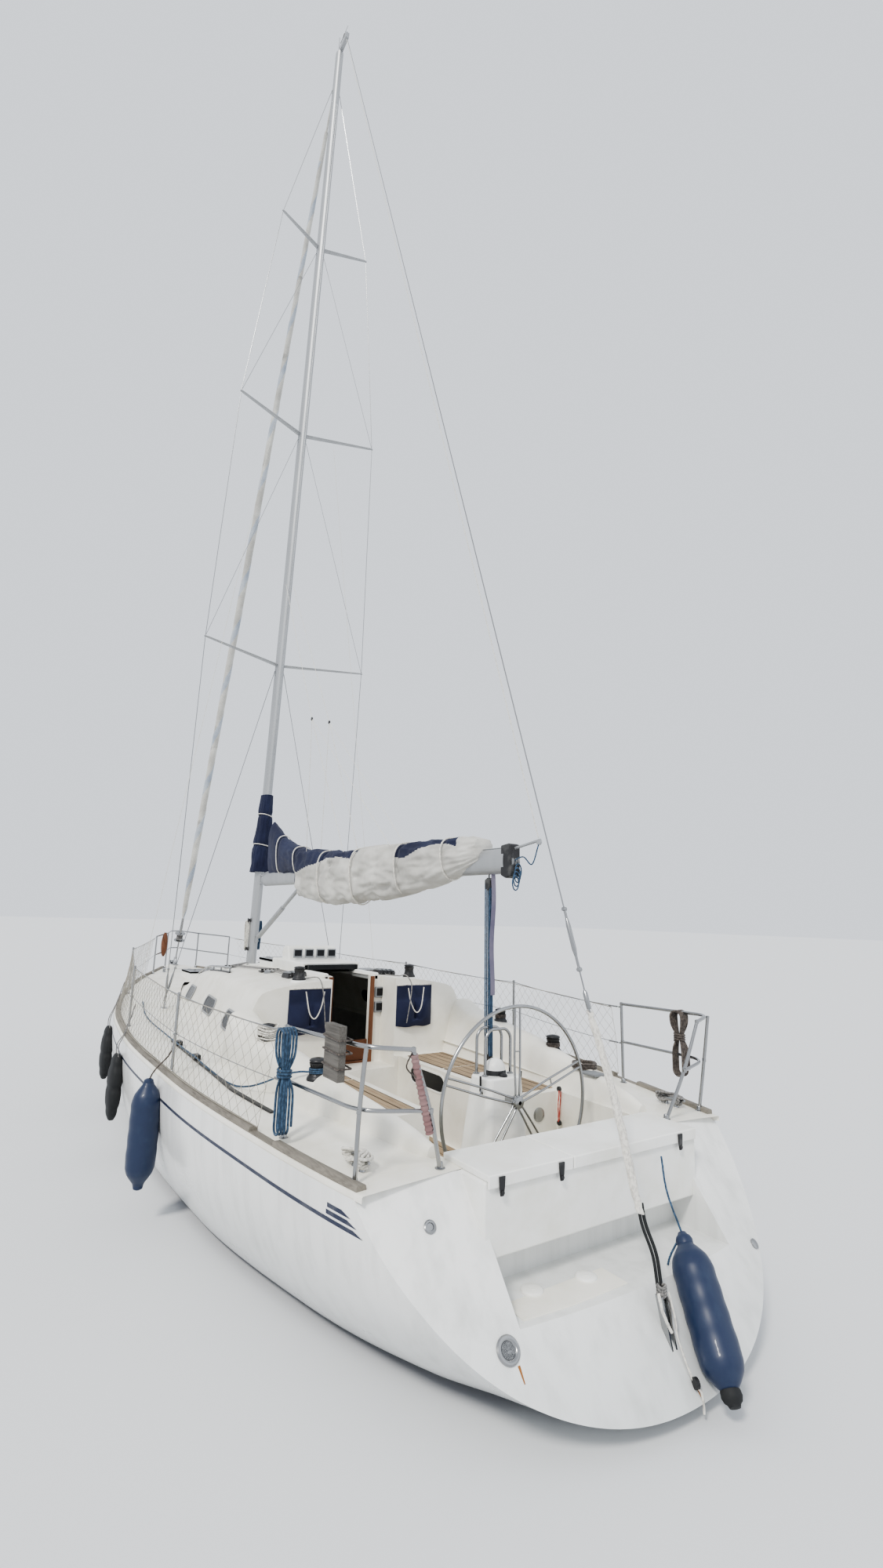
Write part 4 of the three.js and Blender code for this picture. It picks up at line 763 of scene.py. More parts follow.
def roofRow(x, count=30):
    base, side, edge, crown = roofTable(x)
    low = hullLines(x)[1] + roofRise
    port = [(base, low), (side, edge), (side * 0.93, edge + (crown - edge) * 0.42),
            (side * 0.6, edge + (crown - edge) * 0.8), (0, crown)]
    ring = chaikin(port[:-1] + [(side * 0.25, crown - (crown - edge) * 0.03), (0, crown)], 3)
    limit = recessHalf if x < -1.1 else recessHalf * side / 1.02
    outer = ring[ring[:, 0] > limit]
    far = np.interp(-limit, -ring[:, 0], ring[:, 1])
    outer = np.vstack([outer, [limit, far]])
    run = np.concatenate([[0], np.cumsum(np.linalg.norm(np.diff(outer, axis=0), axis=1))])
    at = np.linspace(0, run[-1], count)
    row = [(x, np.interp(t, run, outer[:, 0]), np.interp(t, run, outer[:, 1])) for t in at]
    for share in (0.29, 0.22, 0.11, 0.0):
        y = share / recessHalf * limit
        row.append((x, y, np.interp(-y, -ring[:, 0], ring[:, 1])))
    return row


roof = Form()
stations = [bulkhead, -2.05, -2, -1.95, -1.9, -1.85, recessFore, *np.linspace(-1.75, openFore, 10),
            *np.linspace(-1.25, 3.3, 76)]
rows = [roofRow(x) for x in stations]
columns = len(rows[0])
points = [p for row in rows for p in row]
faces = []
for r in range(len(rows) - 1):
    for k in range(columns - 1):
        inRecess = stations[r + 1] <= recessFore + 1e-6 and k >= columns - 5
        inOpening = stations[r + 1] <= openFore + 1e-6 and k >= columns - 3
        if not (inRecess or inOpening):
            faces.append((r * columns + k, r * columns + k + 1, (r + 1) * columns + k + 1,
                          (r + 1) * columns + k))
roof.add(points, faces)
first = rows[0][:columns - 4]
roof.grid([first, [(x, y, 1.2 + (z - 1.2) * 0.5 if z > 1.2 else z) for x, y, z in first],
           [(x, y, min(z, 1.05)) for x, y, z in first]])
recessRows = [row[columns - 5] for row in rows[:7]]
roof.grid([recessRows, [(x, y, 1.4) for x, y, z in recessRows],
           [(x, y, recessFloor) for x, y, z in recessRows]])
roof.grid([[(x, y, recessFloor) for y in (recessHalf, 0.29, 0.22, 0.11, 0)] for x in stations[:7]])
face = rows[6][columns - 5:columns - 2]
roof.grid([face, [(x, y, 1.4) for x, y, z in face], [(x, y, recessFloor) for x, y, z in face]])
roof.grid([[(recessFore, y, z) for y in (0.22, 0.11, 0)] for z in (1.0, recessFloor)])
roof.grid([[(recessFore, 0.22, z) for z in (1.0, 1.4, rows[6][columns - 3][2])],
           [(recessFore + 0.05, 0.22, z) for z in (1.0, 1.4, rows[6][columns - 3][2])]])
roof.mirror().make("roofSkin", "yacht", moulding, replaces=("coachroof",), bevel=0.022, segments=3,
                   weld=4e-4,
                   angle=50)


def mastX(z):  # the mast leans aft
    return 1.411 - 0.056 * (z - 1.3)


roofTop = Form()
garage = {"aft": -1.28, "fore": -0.38, "half": 0.345, "low": 1.79, "top": 1.945}
g = garage
arch = [(-g["half"], g["low"]), (-g["half"], g["top"]), (g["half"], g["top"]), (g["half"], g["low"]),
        (0.306, g["low"]), (0.306, 1.914), (-0.306, 1.914), (-0.306, g["low"])]
roofTop.slab([(0, y, z) for y, z in arch], (g["aft"], 0, 0), (g["fore"] - 0.03, 0, 0))
roofTop.block((g["fore"] - 0.03, -g["half"], g["low"]), (g["fore"], g["half"], g["top"]))
for s in (1, -1):
    y = s * 0.29
    roofTop.block((recessFore, y - 0.03, 1.79), (g["aft"], y + 0.03, 1.87))
    roofTop.lathe([(0.084, 1.76), (0.08, 1.828), (0, 1.828)], (-1.906, s * 0.631, 0))
podOutline = [(-0.8, -0.02), (-0.56, -0.02), (-0.575, 0.12), (-0.625, 0.15), (-0.73, 0.15)]
roofTop.slab([(x, 0, g["top"] + z) for x, z in podOutline], (0, -0.3, 0), (0, 0.3, 0))
roofTop.block((mastX(1.75) - 0.16, -0.105, 1.66), (mastX(1.75) + 0.16, 0.105, 1.75))
roofTop.make("roofFittings", "yacht", gloss, replaces=("coachroof",), bevel=0.018, segments=3, weld=0)

# Coamings, with a pad for each winch

coamingTable = Table(
    (-2.1005, 0.962, 1.4, 1.6), (-2.35, 0.962, 1.4, 1.51), (-2.75, 0.965, 1.375, 1.455),
                     (-3.3, 0.962, 1.3, 1.41),
    (-3.65, 0.95, 1.255, 1.35), (-4, 0.93, 1.16, 1.3), (-4.3, 0.9, 1.09, 1.255), (-4.6, 0.875, 1.035, 1.205),
    (-4.79, 0.87, 0.975, 1.15))
winches = {"primary": (-3.6, 1.15, 1.3, 1), "secondary": (-2.75, 1.225, 1.442, 0.88),
           "roof": (-1.906, 0.631, 1.828, 0.86)}


def coamingRing(x):
    inner, outer, top = coamingTable(x)
    low = hullLines(x)[1] + roofRise
    back = inner + (top - low) * 0.25
    corner = min(0.06, (top - low) / 3, (outer - back) / 4)
    ring = [(inner, 1.075), (back - 0.006, top - corner), (back + corner, top), (outer - corner * 2, top),
            (outer - corner * 0.6, top - corner * 0.7), (outer, low)]
    return [(x, y, z) for y, z in chaikin(ring, 3)]


for side, s in sides:
    f = Form()
    xs = [-2.1005, *np.linspace(-2.13, -4.72, 66), -4.76, -4.79]
    f.grid([onSide(coamingRing(x), s) for x in xs], caps=True)
    for x, y, pad, size in (winches["primary"], winches["secondary"]):
        f.lathe([(0.099 * size, pad - 0.06), (0.092 * size, pad - 0.004), (0.086 * size, pad), (0, pad)],
                (x, y * s, 0))
    f.make("coamingSkin_" + side, "yacht", moulding, replaces=("coaming_" + side,), weld=2e-4, sharp=55)
print("deck ready")


# Toe rails


def railPath(x):
    y = hullLines(x)[0] - 0.014
    return y, deckZ(x, y)


for side, s in sides:
    f = Form()
    for x0, x1, up in ((-4.96, -4.15, 0.032), (-4.15, -3.85, 0.007), (-3.85, 5.42, 0.032)):
        rows = []
        for x in np.linspace(x0, x1, max(4, int((x1 - x0) * 12))):
            y, z = railPath(x)
            top = [(y, -0.008), (y - 0.003, up * 0.8), (y - 0.01, up), (y - 0.05, up), (y - 0.058, up * 0.8),
                   (y - 0.062, -0.008)]
            rows.append([(x, q * s, z + h) for q, h in top])
        f.grid(rows, closed=True, caps=True)
    f.make("toeRail_" + side, "yacht", teak, replaces=("toe_rail_" + side,), sharp=50)

# Portlights, each a frame with a pane

portlights = {"at": (-1.55, -0.4, 1.05), "length": (0.55, 0.55, 0.54), "height": 0.17, "level": 0.52}


def besidesRoof(x):
    base, side, edge, crown = roofTable(x)
    low = hullLines(x)[1] + roofRise
    t = portlights["level"]
    return np.array((x, base + (side - base) * t, low + (edge - low) * t)), unit((0, side - base,
                                                                                  edge - low))


def slotPath(length, height, per=10):
    r, half = height / 2, length / 2 - height / 2
    out = []
    for way, start in ((1, -90), (-1, 90)):
        for i in range(per + 1):
            a = radians(start + 180 * i / per)
            out.append((way * half + r * cos(a), r * sin(a)))
    return out


def frameAt(x):
    centre, up = besidesRoof(x)
    along = unit(besidesRoof(x + 0.2)[0] - besidesRoof(x - 0.2)[0])
    outward = unit(np.cross(up, -along))
    outward = outward if outward[1] > 0 else -outward
    return centre, along, unit(np.cross(outward, along)), outward


for k, (x, length) in enumerate(zip(portlights["at"], portlights["length"])):
    centre, along, up, outward = frameAt(x)
    up = up if up[2] > 0 else -up
    for side, s in sides:
        f = Form()
        rings = []
        for grow, lift in ((0.0, -0.006), (0.012, -0.002), (0.014, 0.004), (0.009, 0.008), (0.0, 0.008),
                           (-0.006, 0.003)):
            rings.append([centre + along * (u + (grow if u > 0 else -grow)) + up * v * (1 + grow / 0.085)
                          + outward * (lift + 0.004) for u, v in slotPath(length, portlights["height"])])
        f.grid([onSide(ring, s) for ring in rings], closed=True)
        f.make(f"portlightFrame_{side}_{k + 1}", "yacht", alloy, sharp=70, outward=False)
        pane = Form()
        glass = [centre + along * u + up * v for u,
                 v in slotPath(length - 0.008, portlights["height"] - 0.008)]
        pane.slab(onSide(glass, s), outward * (-0.01, -0.01 * s, -0.01),
                  outward * (0.0055, 0.0055 * s, 0.0055))
        pane.make(f"portlightPane_{side}_{k + 1}", "yacht", acrylic, replaces=(f"portlight_{side}_{k + 1}",))

# Cockpit: teak slats on the seats and sole, with a light margin, and a portlight low in the footwell

slatted = Form()


def slatRun(x0, x1, y0, y1, z, width=0.048, gap=0.006, rise=0.006):
    count = max(1, round((y1 - y0) / (width + gap)))
    step = (y1 - y0 + gap) / count
    for k in range(count):
        a = y0 + k * step
        slatted.block((x0, a, z - 0.002), (x1, a + step - gap, z + rise))


for s in (1, -1):
    y0, y1 = (0.47, 0.9) if s > 0 else (-0.9, -0.47)
    slatRun(-3.86, -2.85, y0, y1, 1.08)
    slatRun(-2.82, -2.2, y0, y1, 1.08)
slatRun(-3.85, -2.25, -0.36, 0.36, 0.5)
slatRun(-4.8, -4.45, -0.6, 0.6, 0.5)
slatted.make("seatSlats", "yacht", slats, bevel=0.0015, segments=1)
frames = Form()
for s in (1, -1):
    y = s * 0.4
    rows = []
    for grow, lift in ((0.0, 0.0), (0.0, 0.007), (-0.014, 0.007), (-0.016, 0.002)):
        rows.append([(-2.68 + u, y - s * lift, 0.965 + v * (1 + grow / 0.085))
                     for u, v in slotPath(0.6 + grow, 0.17)])
    frames.grid(rows, closed=True)
frames.make("footwellFrames", "yacht", gloss, outward=False)
panes = Form()
for s in (1, -1):
    panes.slab([(-2.68 + u, 0, 0.965 + v) for u, v in slotPath(0.57, 0.14)], (0, s * 0.402, 0),
               (0, s * 0.3965, 0))
panes.make("footwellPanes", "yacht", acrylic)

vent = Form()
vent.lathe([(0.055, 0), (0.055, 0.008), (0.045, 0.012), (0.02, 0.012), (0, 0.012)], (-3.95, -0.66, 0.92),
           (-1, 0, 0))
vent.lathe([(0.04, 0), (0.04, 0.006), (0.03, 0.009), (0, 0.009)], (-3.95, 0.66, 0.92), (-1, 0, 0))
vent.make("seatVents", "yacht", steel)

# Latches that hold the stern lids down: tapered straps with an eye, hung from the lids' aft lip

lids = {"port": (0.258, 0.885), "starboard": (-0.885, 0.252)}
for side, (y0, y1) in lids.items():
    f = Form()
    f.block((-5.27, y0, 1.0855), (-4.832, y1, 1.122))
    f.block((-5.27, y0, 1.052), (-5.254, y1, 1.1))
    f.make("lid_" + side, "stern_lid_" + side, gloss, replaces=("stern_lid_" + side,), bevel=0.012,
           segments=4, weld=0)
for name, body, y in (("a", "stern_lid_port", 0.8), ("b", "stern_lid_port", 0.36),
                      ("c", "stern_lid_starboard", -0.71)):
    f = Form()
    outline = [(-0.021, 1.11), (0.021, 1.11), (0.017, 1.05), (0.011, 1.012), (-0.011, 1.012), (-0.017, 1.05)]
    f.slab([(0, y + u, v) for u, v in outline], (-5.272, 0, 0), (-5.281, 0, 0))
    f.lathe([(0.0, 0), (0.012, 0), (0.012, 0.006), (0, 0.008)], (-5.281, y, 1.03), (-1, 0, 0), 14)
    f.make("latch_" + name, body, black, bevel=0.002, segments=2)

# Companionway frame, sliding hatch, instruments and bags

bevelled = {"companionway_frame": (varnish, 0.004), "cockpit_moulding": (moulding, 0.022),
            "steering_pedestal": (gloss, 0.012), "cabin_sole_and_steps": (joinery, 0.004),
            "saloon_hatch": (acrylic, 0.008), "fore_hatch": (acrylic, 0.008), "engine_block": (iron, 0.01),
            "drive_leg": (iron, 0.0), "propeller": (bronze, 0.002), "rudder": (gelcoat, 0.0),
            "companionway_hatch": (acrylic, 0.006), "keel": (antifoul, 0.0), "boom_vang": (alloy, 0.0)}
for name, (shader, width) in bevelled.items():
    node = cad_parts[name]
    node.data.materials.clear()
    node.data.materials.append(shader.material)
    node.data.shade_smooth()
    if width:
        edge = node.modifiers.new("edge", "BEVEL")
        edge.width, edge.segments, edge.limit_method = width, 3, "ANGLE"
        edge.angle_limit, edge.harden_normals = radians(32), True
    else:
        node.data.set_sharp_from_angle(angle=radians(38))

for x0, x1, half, z in ((-0.296, 0.276, 0.276, 1.906), (3.494, 4.066, 0.286, 1.466)):
    body = "saloon_hatch" if x0 < 0 else "fore_hatch"
    f = Form()
    outline = [(x0, -half), (x1, -half), (x1, half), (x0, half)]
    ins = [(x0 + 0.03, -half + 0.03), (x1 - 0.03, -half + 0.03), (x1 - 0.03, half - 0.03),
           (x0 + 0.03, half - 0.03)]
    f.grid([[(x, y, z - 0.022) for x, y in outline], [(x, y, z + 0.002) for x, y in outline],
            [(x, y, z + 0.002) for x, y in ins], [(x, y, z - 0.004) for x, y in ins]], closed=True)
    for y in (-0.16, 0.16):
        f.block((x1 - 0.01, y - 0.03, z - 0.006), (x1 + 0.004, y + 0.03, z + 0.008))
    f.make("hatchFrame_" + body, body, alloy, bevel=0.004, outward=False)

dials, screens = Form(), Form()
y = -0.33
for z in (1.52, 1.67):  # by the companionway
    dials.block((-1.803, y - 0.055, z - 0.055), (-1.828, y + 0.055, z + 0.055))
    screens.block((-1.8275, y - 0.04, z - 0.035), (-1.8295, y + 0.04, z + 0.04))
for y in (0.21 - 0.14 * k for k in range(4)):  # on the pod
    dials.block((-0.815, y - 0.055, 1.965), (-0.83, y + 0.055, 2.065))
    screens.block((-0.8295, y - 0.042, 1.985), (-0.8315, y + 0.042, 2.052))
dials.make("instruments", "yacht", grey, bevel=0.008, segments=3)
screens.make("screens", "yacht", acrylic)

washboards = Form()
washboards.block((-1.79, -0.215, 1.0), (-1.775, 0.215, 1.2))
washboards.make("lowerBoard", "yacht", varnish, bevel=0.004)

for side, s in sides:
    f = Form()
    low, high, inner, outer = 1.36, 1.765, 0.372, 0.8
    rows = []
    for i in range(29):
        t = i / 28
        z = low + (high - low) * t
        full = 0.07 * sin(pi * min(t * 1.35 + 0.12, 1)) ** 0.6 + 0.004
        row = []
        for j in range(41):
            u = j / 40
            y = inner + (outer - inner) * u
            pouch = abs(sin(pi * u * 2)) ** 0.5 if t > 0.15 else sin(pi * u) ** 0.3
            sag = noise.noise(Vector((y * 9, z * 7, 3.1 * s))) * 0.012 * sin(pi * u)
            x = -2.1006 - max(full * (0.25 + 0.72 * pouch) * sin(pi * u) ** 0.25 + sag, 0.002)
            row.append((max(x, -2.174), y * s, z + 0.012 * sin(pi * u * 2) ** 2 * (t - 1)))
        rows.append(row)
    back = [[(-2.1008, p[1], p[2]) for p in row] for row in rows]
    f.grid(rows)
    f.grid(back[::-1])
    edge = [*rows[0], *[r[-1] for r in rows[1:]], *rows[-1][-2::-1], *[r[0] for r in rows[-2:0:-1]]]
    f.grid([edge, [(-2.1008, p[1], p[2]) for p in edge]], closed=True)
    bagObj = f.make("bag_" + side, "yacht", navy, replaces=("halyard_bag_" + side,), sharp=60)
    loops = Form()
    base = [(-2.17, 0.47, 1.74), (-2.18, 0.5, 1.6), (-2.19, 0.56, 1.5), (-2.19, 0.62, 1.55),
            (-2.17, 0.66, 1.745)]
    loops.tube(onSide(smoothPath(base), s), 0.006, 8)
    loops.tube(onSide([(-2.1015, 0.375, 1.765), (-2.1015, 0.8, 1.765)], s), 0.008, 8)
    loops.make("bagRope_" + side, "yacht", whiteRope)

# Clutches, tracks, organisers and the smoked panel on the coachroof


def onRoof(x, y):
    base, side, edge, crown = roofTable(x)
    ring = [(0, crown), (side * 0.25, crown - (crown - edge) * 0.03),
            (side * 0.6, edge + (crown - edge) * 0.8),
            (side * 0.93, edge + (crown - edge) * 0.42), (side, edge)]
    return float(np.interp(abs(y), [p[0] for p in ring], [p[1] for p in ring])) - 0.004


clutches, handles = Form(), Form()
for s in (1, -1):
    for k in range(4):
        y = s * (0.45 + 0.052 * k)
        z = onRoof(-1.55, y)
        clutches.slab([(-1.62, 0, z - 0.006), (-1.62, 0, z + 0.035), (-1.6, 0, z + 0.052),
                       (-1.46, 0, z + 0.045),
                       (-1.43, 0, z + 0.02), (-1.43, 0, z - 0.006)], (0, y - 0.021, 0), (0, y + 0.021, 0))
        handles.slab([(-1.615, 0, z + 0.054), (-1.54, 0, z + 0.07), (-1.46, 0, z + 0.058),
                      (-1.455, 0, z + 0.047),
                      (-1.6, 0, z + 0.046)], (0, y - 0.014, 0), (0, y + 0.014, 0))
    for x in (-0.75, 0.6):
        z = onRoof(x, 0.5 * s)
        clutches.block((x - 0.05, s * 0.5 - 0.12, z - 0.004), (x + 0.05, s * 0.5 + 0.12, z + 0.008))
        for k in range(5):
            clutches.lathe([(0.022, 0), (0.013, 0.008), (0.013, 0.016), (0.022, 0.024), (0, 0.024)],
                           (x, s * 0.5 - 0.092 + 0.046 * k, z + 0.008), sides=18)
clutches.make("clutches", "yacht", black, bevel=0.003, weld=0)
handles.make("clutchHandles", "yacht", grey, bevel=0.003, weld=0)

tracks = Form()


def track(path, s, low, high, half=0.016):  # a flat bar along a path
    ring = ((-half, low), (-half, high), (half, high), (half, low))
    tracks.grid([[(x, s * (y + d), z + h) for d, h in ring] for x, y, z in path], closed=True, caps=True)


def deckTrackY(x):
    return min(hullLines(x)[0] - 0.3, 1.55)


for s in (1, -1):
    onCabin = [(-0.2 + 1.2 * t, 0.78 + (0.66 - 0.78) * t) for t in np.linspace(0, 1, 18)]
    track([(x, y, onRoof(x, y)) for x, y in onCabin], s, -0.004, 0.014)
    onSideDeck = [(x, deckTrackY(x)) for x in np.linspace(-3.6, -1.0, 40)]
    track([(x, y, deckZ(x, y)) for x, y in onSideDeck], s, -0.003, 0.013)
    for x in (-1.9, -1.25):
        y = deckTrackY(x)
        tracks.block((x - 0.05, s * y - 0.028, deckZ(x, y) + 0.01),
                     (x + 0.05, s * y + 0.028, deckZ(x, y) + 0.05))
tracks.make("tracks", "yacht", winchMetal, bevel=0.002, weld=0)

handrails = Form()
for s in (1, -1):
    pts = []
    for x in np.linspace(-0.15, 2.4, 30):
        y = roofTable(x)[1] * 0.82
        pts.append((x, s * y, onRoof(x, y) + 0.055))
    handrails.tube(pts, 0.013, 10)
    for x in np.linspace(-0.1, 2.35, 6):
        y = roofTable(x)[1] * 0.82
        handrails.tube([(x, s * y, onRoof(x, y) - 0.01), (x, s * y, onRoof(x, y) + 0.05)], 0.011, 10)
handrails.make("handrails", "yacht", steel)

panelDark = Form()
panelDark.block((-1.24, -0.66, 1.835), (-0.95, -0.42, 1.85))
panelDark.make("smokedPanel", "yacht", acrylic, bevel=0.004)
dorade = Form()
for s in (1, -1):
    for x, y in ((-0.9, 0.56), (1.9, 0.36)):
        z = onRoof(x, y)
        dorade.lathe([(0.062, -0.01), (0.062, 0.012), (0.05, 0.022), (0.045, 0.03), (0.0, 0.034)],
                     (x, s * y, z))
dorade.make("roofVents", "yacht", steel)
smallHatch = Form()
smallHatch.block((-4.32, -1.045, 1.246), (-4.16, -0.93, 1.27))
smallHatch.make("coamingHatch", "yacht", grey, bevel=0.01)

# Chainplates and cleats on deck

deckIron = Form()
for s in (1, -1):
    for x, y in ((-4.7, 1.37), (4.75, 0.42)):
        z = deckZ(x, y)
        for d in (-0.045, 0.045):
            deckIron.lathe([(0.022, -0.008), (0.018, 0.006), (0.013, 0.02), (0.013, 0.05), (0, 0.05)],
                           (x + d, s * y, z), sides=20)
        deckIron.tube([(x - 0.125, s * y, z + 0.058), (x - 0.07, s * y, z + 0.05), (x, s * y, z + 0.047),
                       (x + 0.07, s * y, z + 0.05), (x + 0.125, s * y, z + 0.058)],
                      lambda t: 0.0085 + 0.007 * sin(pi * t), 14)
    z = deckZ(1.03, 1.2)
    deckIron.slab([(0.998, 0, z - 0.015), (1.062, 0, z - 0.015), (1.056, 0, z + 0.05), (1.03, 0, z + 0.078),
                   (1.004, 0, z + 0.05)], (0, s * 1.2 - 0.006, 0), (0, s * 1.2 + 0.006, 0))
    deckIron.block((0.95, s * 1.2 - 0.03, z - 0.01), (1.11, s * 1.2 + 0.03, z + 0.003))
deckIron.make("deckFittings", "yacht", steel, replaces=("deck_moulding",), bevel=0.0015, segments=2, weld=0,
              angle=50)

# Winches: a skirt, a waisted drum with ribs, a self-tailing crown and the handle socket


def winch(name, x, y, pad, size, shader):
    f = Form()
    profile = [(0.078, 0), (0.078, 0.006), (0.075, 0.02), (0.068, 0.027), (0.063, 0.033), (0.056, 0.045),
               (0.0505, 0.06), (0.0495, 0.078), (0.051, 0.096), (0.057, 0.107), (0.062, 0.113),
               (0.062, 0.118),
               (0.053, 0.121), (0.053, 0.126), (0.063, 0.129), (0.063, 0.135), (0.056, 0.142), (0.04, 0.147),
               (0.022, 0.15), (0.018, 0.15), (0.016, 0.13), (0, 0.13)]
    f.lathe([(r * size, z * size) for r, z in profile], (x, y, pad + 0.0003), sides=44)
    for k in range(12):
        a = 2 * pi * k / 12
        c, s = cos(a), sin(a)
        f.tube([(x + c * r * size, y + s * r * size, pad + z * size) for r, z in
                ((0.061, 0.037), (0.0555, 0.047), (0.0515, 0.062), (0.0505, 0.078), (0.052, 0.094),
                 (0.058, 0.107))],
               0.0028 * size, 6)
    inward = -1 if y > 0 else 1
    f.slab([(x - 0.012 * size, y, 0), (x + 0.012 * size, y, 0),
            (x + 0.01 * size, y + inward * 0.068 * size, 0),
            (x - 0.01 * size, y + inward * 0.068 * size, 0)], (0, 0, pad + 0.1295 * size),
           (0, 0, pad + 0.137 * size))
    f.make(name, "yacht", shader, replaces=(name,), sharp=55)


for name, (x, y, pad, size) in winches.items():
    for side, s in sides:
        winch(f"winch_{name}_{side}", x, y * s, pad, size, winchMetal if name != "roof" else black)

loose = Form()
x, y, pad, size = winches["secondary"]
random.seed(4)
for k in range(9):
    r = 0.078 + 0.006 * random.random()
    tilt, drop = random.uniform(-0.25, 0.25), 0.028 * (k % 4)
    loose.tube([(x + r * cos(a) * (1 + 0.1 * sin(a + k)), y + r * sin(a),
                 pad + 0.1 - drop + tilt * r * cos(a + k) - 0.012 * cos(2 * a)) for a in
                fullTurn(27)], 0.0062, 8, closed=True, strands=3, pitch=0.03)
loose.make("looseCoil", "yacht", whiteRope, weld=0, sharp=80)
for (x, y, pad, size), s, turns in ((winches["primary"], 1, 3), (winches["secondary"], 1, 4),
                                    (winches["primary"], -1, 3), (winches["secondary"], -1, 3)):
    f = Form()
    path = []
    for i in range(turns * 24 + 1):
        a = 2 * pi * i / 24
        r = 0.058 * size + 0.001
        path.append((x + r * cos(a), s * y + r * sin(a), pad + (0.05 + 0.0125 * i / 24) * size))
    f.tube(path, 0.0058, 10, strands=3)
    shade = whiteRope if s > 0 and size < 1 else blueRope if s > 0 else darkRope
    f.make(f"winchTurns_{'port' if s > 0 else 'starboard'}_{size}".replace(".", "_"), "yacht", shade)
print("deck gear ready")


# Rig: mast, masthead and spreaders


def mastAt(z):
    return np.array((mastX(z), 0, z))


mastFootZ = 1.75
mastUp = unit(mastAt(17) - mastAt(2))
mastFore = unit((1, 0, 0.056))
capTip = [(6.15, 1.209, 0.11), (9.99, 1.093, 0.096), (13.415, 0.74, 0.082)]

f = Form()
rows = []
for z in (*np.linspace(mastFootZ + 0.002, 16.2, 40), 16.9, 17.3, 17.35):
    taper = 1 - 0.22 * max(0, (z - 14.5) / 3)
    ring = []
    for k in range(40):
        a = 2 * pi * k / 40
        c, s = cos(a), sin(a)
        ring.append(mastAt(z) + mastFore * 0.105 * taper * c + np.array((0, 0.062 * s, 0)))
    rows.append(ring)
f.grid(rows, closed=True, caps=True)
for d in (-0.012, 0.012):  # the sail track down the aft face
    f.tube([mastAt(z) - mastFore * 0.106 + (0, d, 0) for z in (3, 9, 16.2)], 0.0045, 6)
head = mastAt(17.4)
outline = [(-0.3, -0.055), (-0.32, 0.03), (-0.26, 0.05), (0.1, 0.05), (0.13, 0.02), (0.11, -0.055)]
f.slab([head + (x, 0, z) for x, z in outline], (0, -0.028, 0), (0, 0.028, 0))
for x in (-0.27, 0.1):
    f.lathe([(0.026, -0.024), (0.03, -0.01), (0.03, 0.01), (0.026, 0.024)], head + (x, 0, 0.0), (0, 1, 0),
            20)
for z, half, chord in capTip:
    for s in (1, -1):
        rows = []
        for t in (0, 0.08, 0.3, 0.6, 0.9, 0.97, 1):
            y = 0.03 + (half - 0.0066 - 0.03) * t
            x = mastX(z) - 0.281 * half * t
            c = chord * (1 - 0.45 * t) * (0.75 if t == 1 else 1)
            rows.append([(x + c / 2 * cos(2 * pi * k / 20), s * y,
                          z + 0.05 * t + c * 0.14 * sin(2 * pi * k / 20)) for k in range(20)])
        f.grid(rows, closed=True, caps=True)
        f.lathe([(0.001, -0.02), (0.011, -0.016), (0.011, 0.016), (0.001, 0.02)],
                (mastX(z) - 0.281 * half, s * (half - 0.002), z + 0.05), (-0.28, s, 0), 12)
for z, gap, r in ((2.93, 0.046, 0.034), (2.1, 0.028, 0.024)):
    at = np.array((mastX(z) - 0.165, 0, z))
    for k in (-1, 1):
        low = k * gap + (0.0005 if k > 0 else -0.0145)
        f.lathe([(r, low), (r, low + 0.014)], at, mastUp, 24)
        f.block((at[0], -r * 0.7, z + low), (mastX(z), r * 0.7, z + low + 0.014))
for s in (1, -1):
    for z in (16.55, 6.05, 3.45):
        f.slab([mastAt(z) + mastFore * x + (0, 0, h) for x,
                h in ((-0.02, -0.06), (0.02, -0.06), (0.014, 0.03),
                                                                 (-0.014, 0.03))], (0, s * 0.059, 0),
               (0, s * 0.066, 0))
f.make("mastSkin", "yacht", alloy, replaces=("mast",), weld=0, sharp=45)
steps = Form()
for k, z in enumerate((1.95, 2.35)):
    steps.lathe([(0.03, 0), (0.022, 0.008), (0.02, 0.03), (0.032, 0.04), (0, 0.044)],
                mastAt(z) + (0, 0.06, 0), (0, 1, 0), 24)
steps.make("mastWinches", "yacht", winchMetal)
aloft = Form()
top = mastAt(17.45)
aloft.tube([top + (-0.12, 0, 0), top + (-0.12, 0, 0.16)], 0.005, 8)
aloft.slab([top + (-0.3, 0, 0.16), top + (0.0, 0, 0.15), top + (0.0, 0, 0.17)], (0, -0.002, 0),
           (0, 0.002, 0))
aloft.tube([top + (0.02, 0.015, 0), top + (0.02, 0.015, 0.3)], 0.0035, 8)
aloft.lathe([(0.03, 0), (0.034, 0.02), (0.03, 0.07), (0.012, 0.085), (0, 0.086)], top + (-0.2, 0, 0),
            sides=20)
aloft.make("mastheadGear", "yacht", black)

# Standing wires


def turnbuckle(f, foot, head, where=0.0, size=1.0):
    a, b = np.asarray(foot, float), np.asarray(head, float)
    u = unit(b - a)
    p = a + u * where
    f.tube([p, p + u * 0.36 * size], 0.008 * size, 12)
    f.tube([p + u * 0.08 * size, p + u * 0.12 * size, p + u * 0.26 * size, p + u * 0.3 * size],
           lambda t: (0.009 + 0.006 * sin(pi * t)) * size, 14)
    for t in (0.0, 0.36):
        f.lathe([(0.012 * size, -0.014), (0.014 * size, 0), (0.012 * size, 0.014)], p + u * t * size,
                (0, 1, 0), 14)


